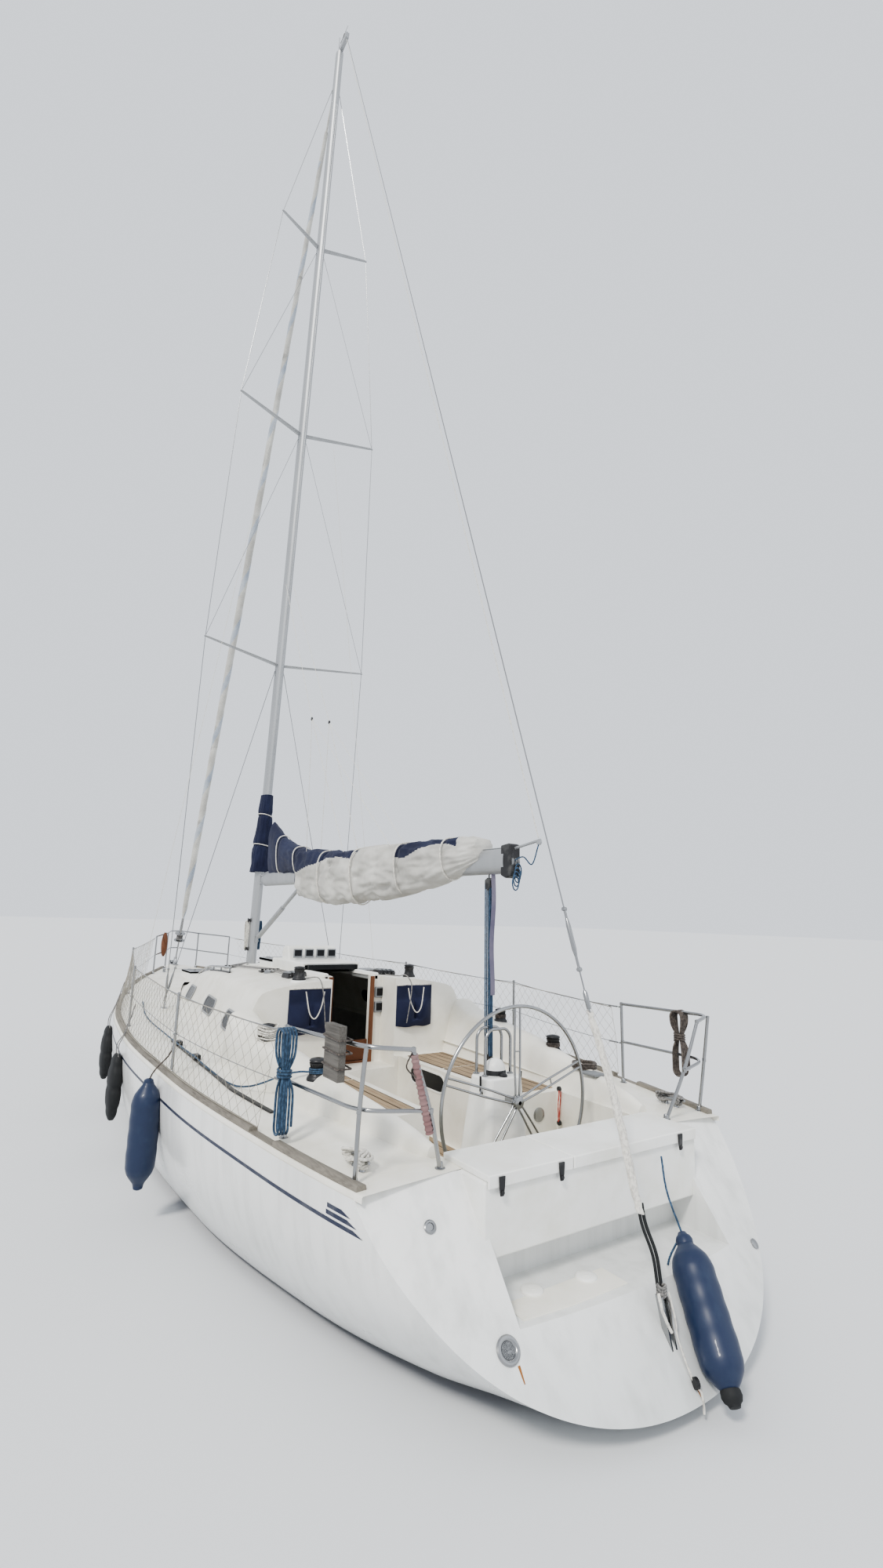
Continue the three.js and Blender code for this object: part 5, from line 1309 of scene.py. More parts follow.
stayZ = deckZ(1.03, 1.2) + 0.078
for side, s in sides:
    f = Form()
    foot = np.array((1.03, s * 1.1985, stayZ + 0.02))
    tips = [np.array((mastX(z) - 0.281 * half, s * half, z + 0.05)) for z, half, chord in capTip]
    route = [foot, *tips, mastAt(16.55) + (0, s * 0.07, 0)]
    f.tube(route, 0.005, 8)
    low = np.array((1.044, s * 1.2, stayZ + 0.02))
    lowTop = mastAt(6.05) + (0, s * 0.07, 0)
    f.tube([low, lowTop], 0.005, 8)
    f.tube([tips[0], mastAt(9.9) + (0, s * 0.066, 0)], 0.0035, 8)
    f.tube([tips[1], mastAt(13.3) + (0, s * 0.066, 0)], 0.0035, 8)
    turnbuckle(f, foot, tips[0], 0.02)
    turnbuckle(f, low, lowTop, 0.04)
    f.block((1.004, s * 1.2 - 0.009, stayZ + 0.0003), (1.056, s * 1.2 + 0.009, stayZ + 0.042))
    f.make("shroudWires_" + side, "yacht", steel, replaces=("shrouds_" + side,), weld=0)

# Rolled genoa round the forestay, its strip wound in a spiral, and the drum below

stayFoot, stayTop = np.array((5.79, 0, 1.47)), np.array((mastX(16.7) + 0.119, 0, 16.7))
stayLength = float(np.linalg.norm(stayTop - stayFoot))
stayWay = unit(stayTop - stayFoot)
stayFore = unit(np.cross(stayWay, (0, 1, 0)))
sailSize = Table((0.876, 0.018), (1.066, 0.044), (2.3, 0.06), (7, 0.062), (12.6, 0.046),
                 (stayLength - 0.7, 0.034), (stayLength - 0.64, 0.017), (stayLength - 0.03, 0.015))
sail = Form()
rows = []
count = 420
for i in range(count):
    d = 0.876 + (stayLength - 0.906) * i / (count - 1)
    r = float(sailSize(d)[0])
    ring = []
    for k in range(24):
        a = 2 * pi * k / 24
        lap = ((a / (2 * pi) + d / 0.95) % 1)
        swell = 0.91 + 0.09 * lap + 0.012 * sin(9 * a + 3 * d)
        ring.append(stayFoot + stayWay * d + r * swell * (cos(a) * stayFore + sin(a) * np.array((0, 1, 0))))
    rows.append(ring)
n = 24
sail.points = [tuple(map(float, p)) for row in rows for p in row]
for r in range(count - 1):
    d = 0.876 + (stayLength - 0.906) * (r + 0.5) / (count - 1)
    for k in range(n):
        j = (k + 1) % n
        sail.faces.append((r * n + k, r * n + j, (r + 1) * n + j, (r + 1) * n + k))
        lap = (((k + 0.5) / n + d / 0.95) % 1)
        sail.paints.append(1 if lap > 0.7 and d < stayLength - 1.2 else 0)
sail.faces += [tuple(range(n))[::-1], tuple(range((count - 1) * n, count * n))]
sail.paints += [0, 0]
sail.make("genoaRoll", "yacht", cover, sailWhite, replaces=("furled_genoa",), weld=0, sharp=75)
drum = Form()
drumProfile = [(0.014, 0.06), (0.014, 0.43), (0.095, 0.43), (0.097, 0.437), (0.095, 0.445), (0.05, 0.45),
               (0.048, 0.46),
               (0.048, 0.55), (0.05, 0.56), (0.095, 0.565), (0.097, 0.572), (0.095, 0.58), (0.03, 0.588),
               (0.026, 0.64), (0.022, 0.8757)]
drum.lathe([(0, 0.06), *drumProfile, (0, 0.8757)], stayFoot, stayWay, 36)
drum.block((5.7, -0.042, 1.4), (6.09, 0.042, 1.425))
for s in (1, -1):
    drum.slab([(5.76, 0, 1.42), (5.86, 0, 1.42), (5.82, 0, 1.56), (5.77, 0, 1.56)], (0, s * 0.018, 0),
              (0, s * 0.024, 0))
    drum.slab([(5.98, 0, 1.42), (6.09, 0, 1.42), (6.099, 0, 1.47), (6.06, 0, 1.49)], (0, s * 0.04, 0),
              (0, s * 0.045, 0))
drum.lathe([(0.018, -0.036), (0.034, -0.03), (0.026, 0), (0.034, 0.03), (0.018, 0.036)], (6.065, 0, 1.452),
           (0, 1, 0), 24)
drum.make("stemGear", "yacht", steel, replaces=("stem_fitting",), weld=0)
drumLine = Form()
drumLine.tube([stayFoot + stayWay * (0.458 + 0.0011 * i) + 0.054 * (cos(i * 0.42) * stayFore
               + sin(i * 0.42) * np.array((0, 1, 0))) for i in range(84)], 0.0055, 8)
drumLine.make("drumLine", "yacht", greyRope)

# Backstay: wire, turnbuckle, white sleeve, dark straps and the rope down to its plate

backTop = np.array((0.215, 0, 17.337))
backFoot = np.array((sternX(0, 0.26) + 0.008, 0, 0.26))


def backAt(z):
    return backFoot + (backTop - backFoot) * (z - backFoot[2]) / (backTop[2] - backFoot[2])


f = Form()
f.tube([backAt(1.9), backAt(17.33)], 0.005, 8)
turnbuckle(f, backAt(2.16), backAt(5), 0, 1.15)
f.lathe([(0.014, 0), (0.016, 0.02), (0.016, 0.1), (0.009, 0.12)], backAt(1.92), unit(backTop - backFoot), 16)
for d in (-0.02, 0.012):
    f.slab([backAt(0.5) + (0, d - 0.004, 0), backAt(0.5) + (0, d + 0.006, 0),
            backAt(0.27) + (0.02, d + 0.006, 0),
            backAt(0.27) + (0.02, d - 0.004, 0)], (-0.022, 0, 0), (0.022, 0, 0))
f.make("backstayWire", "yacht", steel, replaces=("backstay",), weld=0)
sleeve = Form()
rows = []
sleeveLean = np.array((0, -0.02, 0))
for i in range(150):
    t = i / 149
    z = 1.9 - 1.03 * t
    c = backAt(z) + sleeveLean * sin(pi * min(1, t * 1.1)) * 1.2
    ring = []
    for k in range(28):
        a = 2 * pi * k / 28
        wrinkle = noise.noise(Vector((cos(a) * 1.4, sin(a) * 1.4, z * 17))) * 0.2
        tuck = 1 - 0.35 * max(0, 1 - abs(t - 0.02) * 40) - 0.25 * max(0, 1 - abs(t - 0.98) * 30)
        ring.append(c + 0.03 * (0.88 + wrinkle) * tuck * np.array((cos(a), sin(a), 0.5 * cos(a))))
    rows.append(ring)
sleeve.grid(rows, closed=True, caps=True)
sleeve.make("staySleeve", "yacht", whiteRope, sharp=80)
straps = Form()
for d, wide in ((-0.016, 0.021), (0.014, 0.018)):
    rows = []
    for i in range(26):
        z = 0.9 - 0.44 * i / 25
        c = backAt(z) + (0, d - 0.018 + 0.012 * sin(i * 0.35), 0)
        rows.append([c + (-0.005, -wide / 2, 0), c + (0.005, -wide / 2, 0), c + (0.005, wide / 2, 0),
                     c + (-0.005, wide / 2, 0)])
    straps.grid(rows, closed=True, caps=True)
straps.make("stayStraps", "yacht", vinylBlack, bevel=0.0015, segments=1)
knot = Form()
c = backAt(0.5)
for k in range(4):
    turns = [c + 0.022 * np.array((cos(a), sin(a), 0)) + (0, -0.01, 0.014 * k + 0.004 * sin(2 * a))
             for a in fullTurn(19)]
    knot.tube(turns, 0.0075, 10, closed=True, strands=3, pitch=0.03)
knot.tube(smoothPath([c + (-0.01, -0.02, 0.02), c + (-0.02, -0.05, -0.05), c + (-0.03, -0.045, -0.14),
                      c + (-0.05, -0.02, -0.21)]), 0.005, 8)
knot.make("stayKnot", "yacht", greyRope)
tail = Form()
tail.tube(smoothPath([backAt(0.5) + (-0.03, -0.03, 0.02), backAt(0.4) + (-0.03, -0.035, 0),
                      sternFace(-0.03, 0.3, 0.03),
                      sternFace(-0.02, 0.17, 0.012), sternFace(-0.03, 0.125, 0.02),
                      sternFace(-0.032, 0.12, 0.02) - (0.004, 0, 0.08)]),
          0.006, 8, strands=3, pitch=0.03)
tail.tube(smoothPath([backAt(0.52) + (-0.02, 0.03, 0), backAt(0.46) + (-0.03, 0.045, 0),
                      backAt(0.4) + (-0.03, 0.03, 0),
                      backAt(0.36) + (-0.03, 0.015, 0)]), 0.008, 10, strands=3, pitch=0.03)
tail.make("stayTail", "yacht", whiteRope, weld=0)
tailBlock = Form()
tailBlock.lathe([(0.008, -0.012), (0.026, -0.01), (0.026, 0.01), (0.008, 0.012)],
                sternFace(-0.022, 0.16, 0.02), (0.3, 1, 0), 22)
tailBlock.make("tailBlock", "yacht", winchMetal)
streak = Form()
for y, z0, z1, w in ((-0.035, 0.15, 0.115, 0.006), (0.93, 0.4, 0.345, 0.007)):
    streak.add([sternFace(y - w, z0, 0.0012), sternFace(y + w, z0, 0.0012),
                sternFace(y + w * 0.4, z1, 0.0012),
                sternFace(y - w * 0.4, z1, 0.0012)], [(0, 1, 2, 3)])
streak.make("rustStreaks", "yacht", rust)
print("standing rig ready")

# Boom, kept on its own body: an oval tube with a black end box and a crane

pivot = np.array((mastX(2.93) - 0.165, 0, 2.93))
boomEnd = np.array((-4.356, 0, 2.912))
boomWay = unit(boomEnd - pivot)
boomUp = unit(np.cross((0, 1, 0), boomWay))
boomUp = boomUp if boomUp[2] > 0 else -boomUp
boomLength = float(np.linalg.norm(boomEnd - pivot))


def onBoom(d, y=0, up=0):
    return pivot + boomWay * d + (0, y, up)


f = Form()
rows = []
for d in (0.12, 0.135, *np.linspace(0.3, boomLength - 0.1, 20), boomLength - 0.02):
    shrink = 0.9 if d == 0.12 else 1
    rows.append([pivot + boomWay * d + shrink * (boomUp * 0.1 * sin(a) + np.array((0, 0.058 * cos(a), 0)))
                 for a in fullTurn(40)])
f.grid(rows, closed=True, caps=True)
f.lathe([(0.018, -0.046), (0.024, -0.04), (0.024, 0.04), (0.018, 0.046)], pivot, mastUp, 28)
f.tube([onBoom(0.005), onBoom(0.14)], 0.022, 20)
for d in (-0.01, 0.01):
    f.tube([onBoom(x, d, 0.103) for x in (0.2, 2.5, boomLength - 0.1)], 0.004, 6)
for d in (1.5, 2.9, 4.6):
    f.block(onBoom(d, -0.012, -0.13), onBoom(d + 0.05, 0.012, -0.095))
f.tube([onBoom(boomLength - 0.05, 0, 0.075), (-4.7, 0, 3.045)], 0.0105, 14)
f.lathe([(0.012, -0.01), (0.022, -0.008), (0.022, 0.008), (0.012, 0.01)], (-4.685, 0, 3.03), (0, 1, 0), 20)
f.make("boomTube", "boom", alloy, replaces=("boom",), weld=0, sharp=50)
cap = Form()
x0, x1 = -4.418, -4.3
cap.slab([(x0, 0, 2.79), (x0, 0, 3.03), (x0 + 0.03, 0, 3.04), (x1, 0, 3.03), (x1, 0, 2.8),
          (x1 - 0.06, 0, 2.775)],
         (0, -0.05, 0), (0, 0.05, 0))
cap.make("boomBox", "boom", black, replaces=("boom",), bevel=0.01, segments=3)
sheaves = Form()
for y in (-0.028, 0, 0.028):
    sheaves.lathe([(0.028, -0.007), (0.034, -0.006), (0.029, 0), (0.034, 0.006), (0.028, 0.007)],
                  (-4.4, y, 2.9),
                  (0, 1, 0), 24)
sheaves.make("boomSheaves", "boom", grey)

# Stowed mainsail in its worn cover: folds on folds over the boom, hanging open under it

bundleTable = Table((-0.33, 0.09, 0.82, 0.01), (-0.62, 0.115, 0.64, 0.01), (-1.1, 0.13, 0.45, 0.01),
                    (-1.448, 0.15, 0.38, -0.02), (-1.53, 0.16, 0.365, -0.31), (-2.2, 0.175, 0.29, -0.36),
                    (-2.9, 0.185, 0.265, -0.38), (-3.685, 0.175, 0.26, -0.31), (-4.48, 0.16, 0.245, -0.2),
                    (-5, 0.13, 0.235, -0.08), (-5.18, 0.1, 0.2, -0.01))
shape = np.array([(0, 1), (0.62, 0.93), (0.95, 0.6), (1, 0.15), (0.94, -0.3), (0.7, -0.78), (0, -1)])
shape = np.vstack([shape, [(-x, y) for x, y in shape[-2:0:-1]], shape[:1]])
loopShape = chaikin(shape, 3)
tieAt = (0.75, 1.42, 2.25, 3.1, 4.0, 4.75)


def foldAt(d, a, up):
    p = Vector((d * 1.15, cos(a) * 0.9, sin(a) * 1.1))
    gather = noise.noise(p * 2.2) * 0.55 + noise.noise(p * 5.1 + Vector((7, 0, 0))) * 0.3
    fine = noise.noise(Vector((d * 11, cos(a) * 2.2, sin(a) * 2.2)))
    sharp = 1 - abs(noise.noise(p * 3.4 + Vector((0, 5, 2)))) * 2
    return gather + fine * 0.22 + sharp * 0.3


def bundleMesh():
    f = Form()
    rows = []
    count = 330
    for i in range(count):
        d = 0.33 + 4.85 * i / (count - 1)
        half, up, down = bundleTable(-d)
        ties = sum(exp(-((d - t) / 0.05) ** 2) for t in tieAt)
        middle, reach = (up + down) / 2, (up - down) / 2
        ring = []
        for k in range(len(loopShape) - 1):
            w, h = loopShape[k]
            a = atan2(h, w)
            fold = foldAt(d, a, h)
            below = max(0.0, -h)
            depth = (0.27 if d > 1.5 else 0.12) * fold * (1 - 0.5 * ties) - 0.14 * ties * (1 - below)
            rag = 0.2 * noise.noise(Vector((d * 4.3, 3.3, 0))) * below ** 2
            grow = min(1.0, 0.86 + depth)
            z = middle + reach * h * min(1.0, 0.93 + depth * 0.6 - rag)
            y = half * w * grow
            ring.append(onBoom(d, y, z))
        rows.append(ring)
    f.grid(rows, closed=True, caps=True)
    made = f.make("sailBundle", "boom", cover, navy, replaces=("mainsail_bundle",), weld=0, sharp=80)
    mesh = made.data
    for face in mesh.polygons:
        c = face.center
        d = pivot[0] - c[0]
        spot = noise.noise(Vector((c[0] * 2.4, c[1] * 3, c[2] * 5)))
        topSide = c[2] - 2.92
        edge = 0.12 + 0.07 * spot + 0.05 * sin(d * 3.1)
        if d < 1.52 or (d < 3.05 and topSide > edge) or (3.95 < d < 4.95 and topSide > edge - 0.02):
            face.material_index = 1
    return made


bundleMesh()
straps = Form()
for d in tieAt:
    half, up, down = bundleTable(-d)
    middle, reach = (up + down) / 2, (up - down) / 2
    ring = []
    for k in range(0, len(loopShape) - 1, 2):
        w, h = loopShape[k]
        low = max(h, -0.96)
        ring.append(onBoom(d + 0.01 * sin(3 * k), half * w * 0.93, middle + reach * low * 0.965))
    straps.tube(ring, 0.0075, 8, closed=True)
straps.make("sailTies", "boom", whiteRope)

# The cover's collar round the mast, laced up the front

collarTable = Table((3.037, 0.15, 0.21, 0.128), (3.04 + 0.46, 0.128, 0.18, 0.14),
                    (3.04 + 1.12, 0.088, 0.128, 0.125))
f = Form()
rows = []
for i in range(120):
    z = 3.037 + 1.122 * i / 119
    half, ahead, behind = collarTable(z)
    squeeze = sum(exp(-((z - t) / 0.035) ** 2) for t in (3.42, 3.86))
    ring = []
    for k in range(64):
        a = 2 * pi * k / 64
        c, s = cos(a), sin(a)
        ripple = noise.noise(Vector((c * 2.1, s * 2.1, z * 2.4))) * 0.17
        ripple += noise.noise(Vector((c * 5, s * 5, z * 6))) * 0.1
        grow = min(1.0, 0.9 + ripple - 0.12 * squeeze - (0.1 if c > 0.97 else 0))
        floorR = 0.115 if c > 0 else 0.112
        x = max(abs((ahead if c > 0 else behind) * c * grow), abs(floorR * c))
        y = max(abs(half * s * grow), abs(0.069 * s))
        ring.append((mastX(z) + copysign(x, c), copysign(y, s), z))
    rows.append(ring)
f.grid(rows, closed=True)
collar = f.make("mastCollar", "yacht", navy, replaces=("mast_cover",), weld=0, sharp=80)
lacing = Form()
for z in (3.42, 3.86):
    half, ahead, behind = collarTable(z)
    ring = []
    for k in range(36):
        a = 2 * pi * k / 36
        c, s = cos(a), sin(a)
        ring.append((mastX(z) + (ahead if c > 0 else behind) * c * 0.86, half * s * 0.9, z + 0.02 * sin(a)))
    lacing.tube(ring, 0.007, 8, closed=True)
for k in range(9):
    z = 3.12 + 0.11 * k
    half, ahead, behind = collarTable(z)
    x = mastX(z) + ahead * 0.93
    lacing.tube([(x, -0.02, z), (x + 0.008, 0, z + 0.028), (x, 0.02, z + 0.056)], 0.004, 6)
lacing.make("collarLacing", "yacht", whiteRope)
print("boom and sail ready")


# Guard rails: stanchions, wires, the pushpits and the pulpit

railR = 0.0125
stanchionAt = [(2.48, 0.104), (0.05, 0.104), (-2.235, 0.066)]
pushpitPosts = {"fore": ((-4.05, 1.56), (-4.04, 1.57, 1.43), (-4.03, 1.58, 1.75)),
                "side": ((-4.87, 1.48), (-4.92, 1.5, 1.44), (-4.97, 1.5, 1.775)),
                "aft": ((-4.95, 0.985), (-5.03, 1.11, 1.42), (-5.05, 1.25, 1.755))}


def footPlate(f, x, y):
    z = deckZ(x, abs(y))
    f.lathe([(0.03, -0.006), (0.03, 0.003), (0.02, 0.006), (0.016, 0.03), (0.0135, 0.034)], (x, y, z),
            sides=20)


def onDeckAt(x, inset, up):
    y = hullLines(x)[0] - inset
    return np.array((x, y, deckZ(x, y) + up))


for side, s in sides:
    f = Form()
    for x, inset in stanchionAt:
        foot, head = onDeckAt(x, inset, -0.01), onDeckAt(x, inset, 0.64)
        f.tube(onSide([foot, head], s), railR, 16)
        f.lathe([(0.0128, -0.004), (0.015, 0.0), (0.013, 0.012), (0.006, 0.016)],
                (head[0], head[1] * s, head[2] - 0.006), sides=16)
        footPlate(f, x, s * (hullLines(x)[0] - inset))
        f.lathe([(0.014, -0.01), (0.018, -0.006), (0.018, 0.006), (0.014, 0.01)],
                (head[0], head[1] * s, deckZ(x, hullLines(x)[0] - inset) + 0.32), (1, 0, 0), 16)
    for up, r in ((0.628, 0.004), (0.32, 0.003)):
        line = [onDeckAt(4.53, 0.104, up), *[onDeckAt(x, i, up) for x, i in stanchionAt]]
        last = np.array((-4, 1.579, deckZ(-4, 1.579) + up))
        path = []
        for a, b in zip(line, line[1:] + [last]):
            for t in np.linspace(0, 1, 9)[:-1]:
                path.append(a + (b - a) * t - np.array((0, 0, 0.02 * 4 * t * (1 - t))))
        f.tube(onSide(path + [last], s), r, 8)
        f.tube(onSide([last, last + (-0.03, 0.0, 0.0)], s), 0.007, 10)
        f.tube(onSide([last + (0.12, 0, 0), last + (0.02, 0, 0)], s), 0.007, 10)
    f.make("lifelineGear_" + side, "yacht", steel, replaces=("lifelines_" + side,), weld=0)

    f = Form()
    for name, (foot, middle, head) in pushpitPosts.items():
        start = np.array((foot[0], foot[1], deckZ(*foot) - 0.01))
        f.tube(onSide(rounded([start, middle, np.asarray(head) - (0, 0, 0.002)], 0.18, 7), s), railR, 16)
        footPlate(f, foot[0], s * foot[1])
    tops = [np.asarray(p[2], float) for p in pushpitPosts.values()]
    mids = [np.asarray(p[1], float) for p in pushpitPosts.values()]
    f.tube(onSide(rounded([tops[0], tops[1], tops[2]], 0.16, 9), s), railR, 16)
    f.tube(onSide(rounded(mids, 0.16, 9), s), railR * 0.9, 16)
    for p in tops[::2] + mids:
        f.lathe([(0.004, -0.017), (0.0145, -0.012), (0.0145, 0.012), (0.004, 0.017)], (p[0], s * p[1], p[2]),
                sides=16)
    f.make("pushpitRail_" + side, "yacht", steel, replaces=("pushpit_" + side,), weld=0)

f = Form()
bowPosts = [4.56, 5.35]
nose = deckZ(5.9, 0)
for s in (1, -1):
    for x in bowPosts:
        f.tube(onSide([onDeckAt(x, 0.104, -0.01), onDeckAt(x, 0.104, 0.64)], s), railR, 16)
        footPlate(f, x, s * (hullLines(x)[0] - 0.104))
for up, noseX, r in ((0.64, 6.02, railR), (0.32, 5.985, railR * 0.9)):
    port = [onDeckAt(x, 0.104, up) for x in bowPosts] + [np.array((noseX - 0.07, 0.09, nose + up))]
    path = [*port, *[p * (1, -1, 1) for p in port[::-1]]]
    f.tube(rounded(path, 0.12, 8), r, 16)
f.make("pulpitRail", "yacht", steel, replaces=("pulpit",), weld=0)

# Netting between the toe rail and the upper wire, with its lacing

upperWire = [(-4, 1.579),
             *[(x, hullLines(x)[0] - inset) for x, inset in (*stanchionAt[::-1], (4.53, 0.104))]]
for side, s in sides:
    f = Form()
    span, pitch = (-3.9, 4.4), 0.062
    stations = np.arange(span[0], span[1], pitch)

    def netPoint(x, t):
        y0, z0 = railPath(x)
        y0 -= 0.03
        xs, ys = zip(*upperWire)
        y1 = np.interp(x, xs, ys)
        z1 = np.interp(x, xs, [deckZ(*p) for p in upperWire]) + 0.615
        sway = 0.012 * noise.noise(Vector((x * 1.7, t * 2, 5 * s)))
        return (x + 0.006 * sin(x * 19 + t * 5), s * (y0 + (y1 - y0) * t + sway),
                z0 + 0.034 + (z1 - z0 - 0.034) * t)

    cells = 10
    for way in (1, -1):
        for x in stations[::2]:
            pts = []
            for k in range(cells + 1):
                q = x + way * (pitch if k % 2 else 0)
                if span[0] <= q <= span[1]:
                    pts.append(netPoint(q, k / cells))
            if len(pts) > 2:
                f.tube(pts, 0.0017, 4, caps=False)
    for t in (0.005, 0.995):
        f.tube([netPoint(x, t) for x in np.linspace(*span, 90)], 0.0035, 6)
    f.make("netting_" + side, "yacht", netting, weld=0)

# Wheel on its own body: rim, five pairs of spokes, hub and its nut

wheel = {"x": -4.455, "z": 1.206, "radius": 0.648, "rim": 0.0128}
centre = np.array((wheel["x"], 0, wheel["z"]))


def around(r, a, x=0.0):
    return centre + (x, r * cos(a), r * sin(a))


f = Form()
f.tube([around(wheel["radius"], a) for a in fullTurn(120)], wheel["rim"], 16, closed=True)
for k in range(5):
    a = pi / 2 + k * 2 * pi / 5
    for d in (-1, 1):
        path = [around(0.036, a + d * 0.5), around(0.09, a + d * 0.2, -0.004), around(0.3, a + d * 0.085),
                around(0.648, a + d * 0.035)]
        f.tube(smoothPath(path, 5), 0.0078, 12)
    f.tube([around(0.34, a - 0.075), around(0.34, a + 0.075)], 0.005, 10)
f.lathe([(0.03, -0.034), (0.04, -0.03), (0.046, -0.012), (0.046, 0.012), (0.038, 0.03), (0.03, 0.034)],
        centre,
        (1, 0, 0), 40)
f.lathe([(0.013, -0.034), (0.013, -0.0335), (0.006, -0.034)], centre, (1, 0, 0), 12)
f.make("wheelRim", "steering_wheel", steel, replaces=("steering_wheel",), weld=0)

# Pedestal: tapered box, guard hoops, compass under its dome, throttle and column cap

f = Form()
rows = []
for t in np.linspace(0, 1, 9):
    fore, aft = -3.98 - 0.12 * t, -4.4 + 0.06 * t
    half = 0.218 - 0.058 * t
    z = 0.5003 + 0.8447 * t
    ring = [(fore, half * 0.82), (fore, -half * 0.82), (fore - 0.03, -half), (aft + 0.03, -half),
            (aft, -half * 0.82),
            (aft, half * 0.82), (aft + 0.03, half), (fore - 0.03, half)]
    rows.append([(x, y, z) for x, y in ring])
f.grid(rows, closed=True, caps=True)
f.make("pedestalBox", "yacht", gloss, replaces=("steering_pedestal",), bevel=0.016, segments=4, angle=25)
f = Form()
for x in (-4.13, -4.235):
    path = [(x, 0.118, 1.34), (x, 0.118, 1.615), (x, 0.073, 1.665), (x, -0.073, 1.665), (x, -0.118, 1.615),
            (x, -0.118, 1.34)]
    f.tube(rounded(path, 0.07, 7), 0.011, 16)
    for y in (0.118, -0.118):
        f.lathe([(0.024, 0), (0.024, 0.006), (0.013, 0.012)], (x, y, 1.345), sides=20)
f.tube([(-4.24, 0, 1.206), (-4.4205, 0, 1.206)], 0.0255, 28)
f.make("guardHoops", "yacht", steel, replaces=("steering_pedestal",), weld=0)
f = Form()
f.lathe([(0.082, -0.004), (0.082, 0.024), (0.078, 0.034)], (-4.2, 0, 1.345), sides=40)
f.lathe([(0.03, 0.0), (0.03, 0.012), (0.02, 0.02), (0, 0.022)], (-4.3, 0.0, 1.345), sides=24)
for s in (1, -1):
    f.tube(onSide([(-4.27, 0.152, 1.23), (-4.27, 0.185, 1.26), (-4.275, 0.19, 1.36)], s), 0.008, 12)
f.make("compassBowl", "yacht", black, weld=0)
f = Form()
f.lathe([(0.078, 0.034), (0.076, 0.052), (0.068, 0.074), (0.052, 0.094), (0.028, 0.109), (0, 0.1138)],
        (-4.2, 0, 1.345), sides=40)
f.make("compassDome", "yacht", gloss)

# Blocks of the mainsheet, one on the boom and one over the cockpit sole

top, low = np.array((-4.1, 0, 2.79)), np.array((-4.125, 0, 1.42))
for name, body, p, way in (("boomBlock", "boom", top + (0, 0, -0.05), 1), ("soleBlock", "yacht", low, -1)):
    blocks = Form()
    blocks.slab([p + (0.0, 0, -0.05), p + (0.032, 0, -0.03), p + (0.032, 0, 0.03), p + (0, 0, 0.05),
                 p + (-0.032, 0, 0.03), p + (-0.032, 0, -0.03)], (0, -0.02, 0), (0, 0.02, 0))
    blocks.tube([p + (0, 0, 0.045 * way), p + (0, 0, 0.09 * way)], 0.006, 10)
    blocks.make(name, body, black, bevel=0.004, segments=2, weld=0)
print("rails and steering ready")


def ropeAlong(name, body, points, radius, shader, sides=10, strands=3, pitch=0.04, replaces=(), steps=10):
    f = Form()
    path = smoothPath(points, steps) if steps else points
    f.tube(path, radius, sides, strands=strands, pitch=pitch)
    return f.make(name, body, shader, replaces=replaces, weld=0, sharp=80)


# Sheet from the boom down to the cockpit, with its strap

f = Form()
top, low = np.array((-4.1, 0, 2.74)), np.array((-4.125, 0, 1.46))
for d in (-0.016, 0.0, 0.016):
    f.tube([top + (0.026, d, 0), low + (0.026, d, 0)], 0.0055, 8, strands=3, pitch=0.03)
    f.tube([top + (-0.026, d * 0.7, 0), low + (-0.026, d * 0.7, 0)], 0.0055, 8, strands=3, pitch=0.03)
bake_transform(f.make("mainsheet", None, blueRope, weld=0, sharp=80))
f = Form()
rows = []
for z in np.linspace(2.83, 1.9, 60):
    sway = 0.01 * sin(z * 9)
    rows.append([(-4.155 + sway, y, z) for y in (-0.02, 0.02)]
                + [(-4.151 + sway, y, z) for y in (0.02, -0.02)])
f.grid(rows, closed=True, caps=True)
strap = f.make("sheetStrap", "boom", webbing, weld=0)

# Lines aloft: lazy jacks, topping lift, a spare line from the crane, burgee halyard

jackHigh, jackLow = 7.4, 2.95
lazy, blocks = Form(), Form()
jack = np.array((mastX(jackHigh), 0, jackHigh))
for s in (1, -1):
    block = np.array((-0.55, s * 0.12, 4.9))
    lazy.tube([jack + (-0.1, s * 0.06, 0), block], 0.003, 6)
    for x in (-0.6, -1.75, -2.9):
        lazy.tube([block, np.array((x, s * 0.09, 2.93))], 0.003, 6)
    blocks.lathe([(0.008, -0.008), (0.022, -0.006), (0.022, 0.006), (0.008, 0.008)], block, (0, 1, 0), 18)
for piece in (lazy.make("lazyJacks", None, whiteRope, weld=0), blocks.make("jackBlocks", None, black)):
    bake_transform(piece)
aloft = Form()
aloft.tube([mastAt(17.3) + (-0.3, 0.01, 0), np.array((-4.69, 0.012, 3.06))], 0.0035, 6)
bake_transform(aloft.make("toppingLift", None, whiteRope, weld=0))
aloft = Form()
for s in (1, -1):
    aloft.tube([(mastX(9.9) - 0.12, s * 0.5, 9.9), onDeckAt(0.62, 0.2, 0.1) * (1, s, 1)], 0.0025, 6)
aloft.make("flagLines", "yacht", whiteRope, weld=0)
craneLines = Form()
crane = np.array((-4.69, 0, 3.03))
craneLines.tube(smoothPath([crane + (0.0, 0.01, -0.02), crane + (0.06, 0.02, -0.16),
                            crane + (0.16, 0.02, -0.1),
                            crane + (0.3, 0.01, -0.13)]), 0.005, 8)
for k in range(4):
    craneLines.tube([np.array((-4.43 - 0.004 * k, -0.02 + 0.012 * k + 0.03 * cos(a), 2.83 - 0.03 * k
                               + 0.055 * sin(a))) for a in fullTurn(19)], 0.005, 8,
                    closed=True)
craneLines.make("boomEndLines", "boom", blueRope, weld=0)
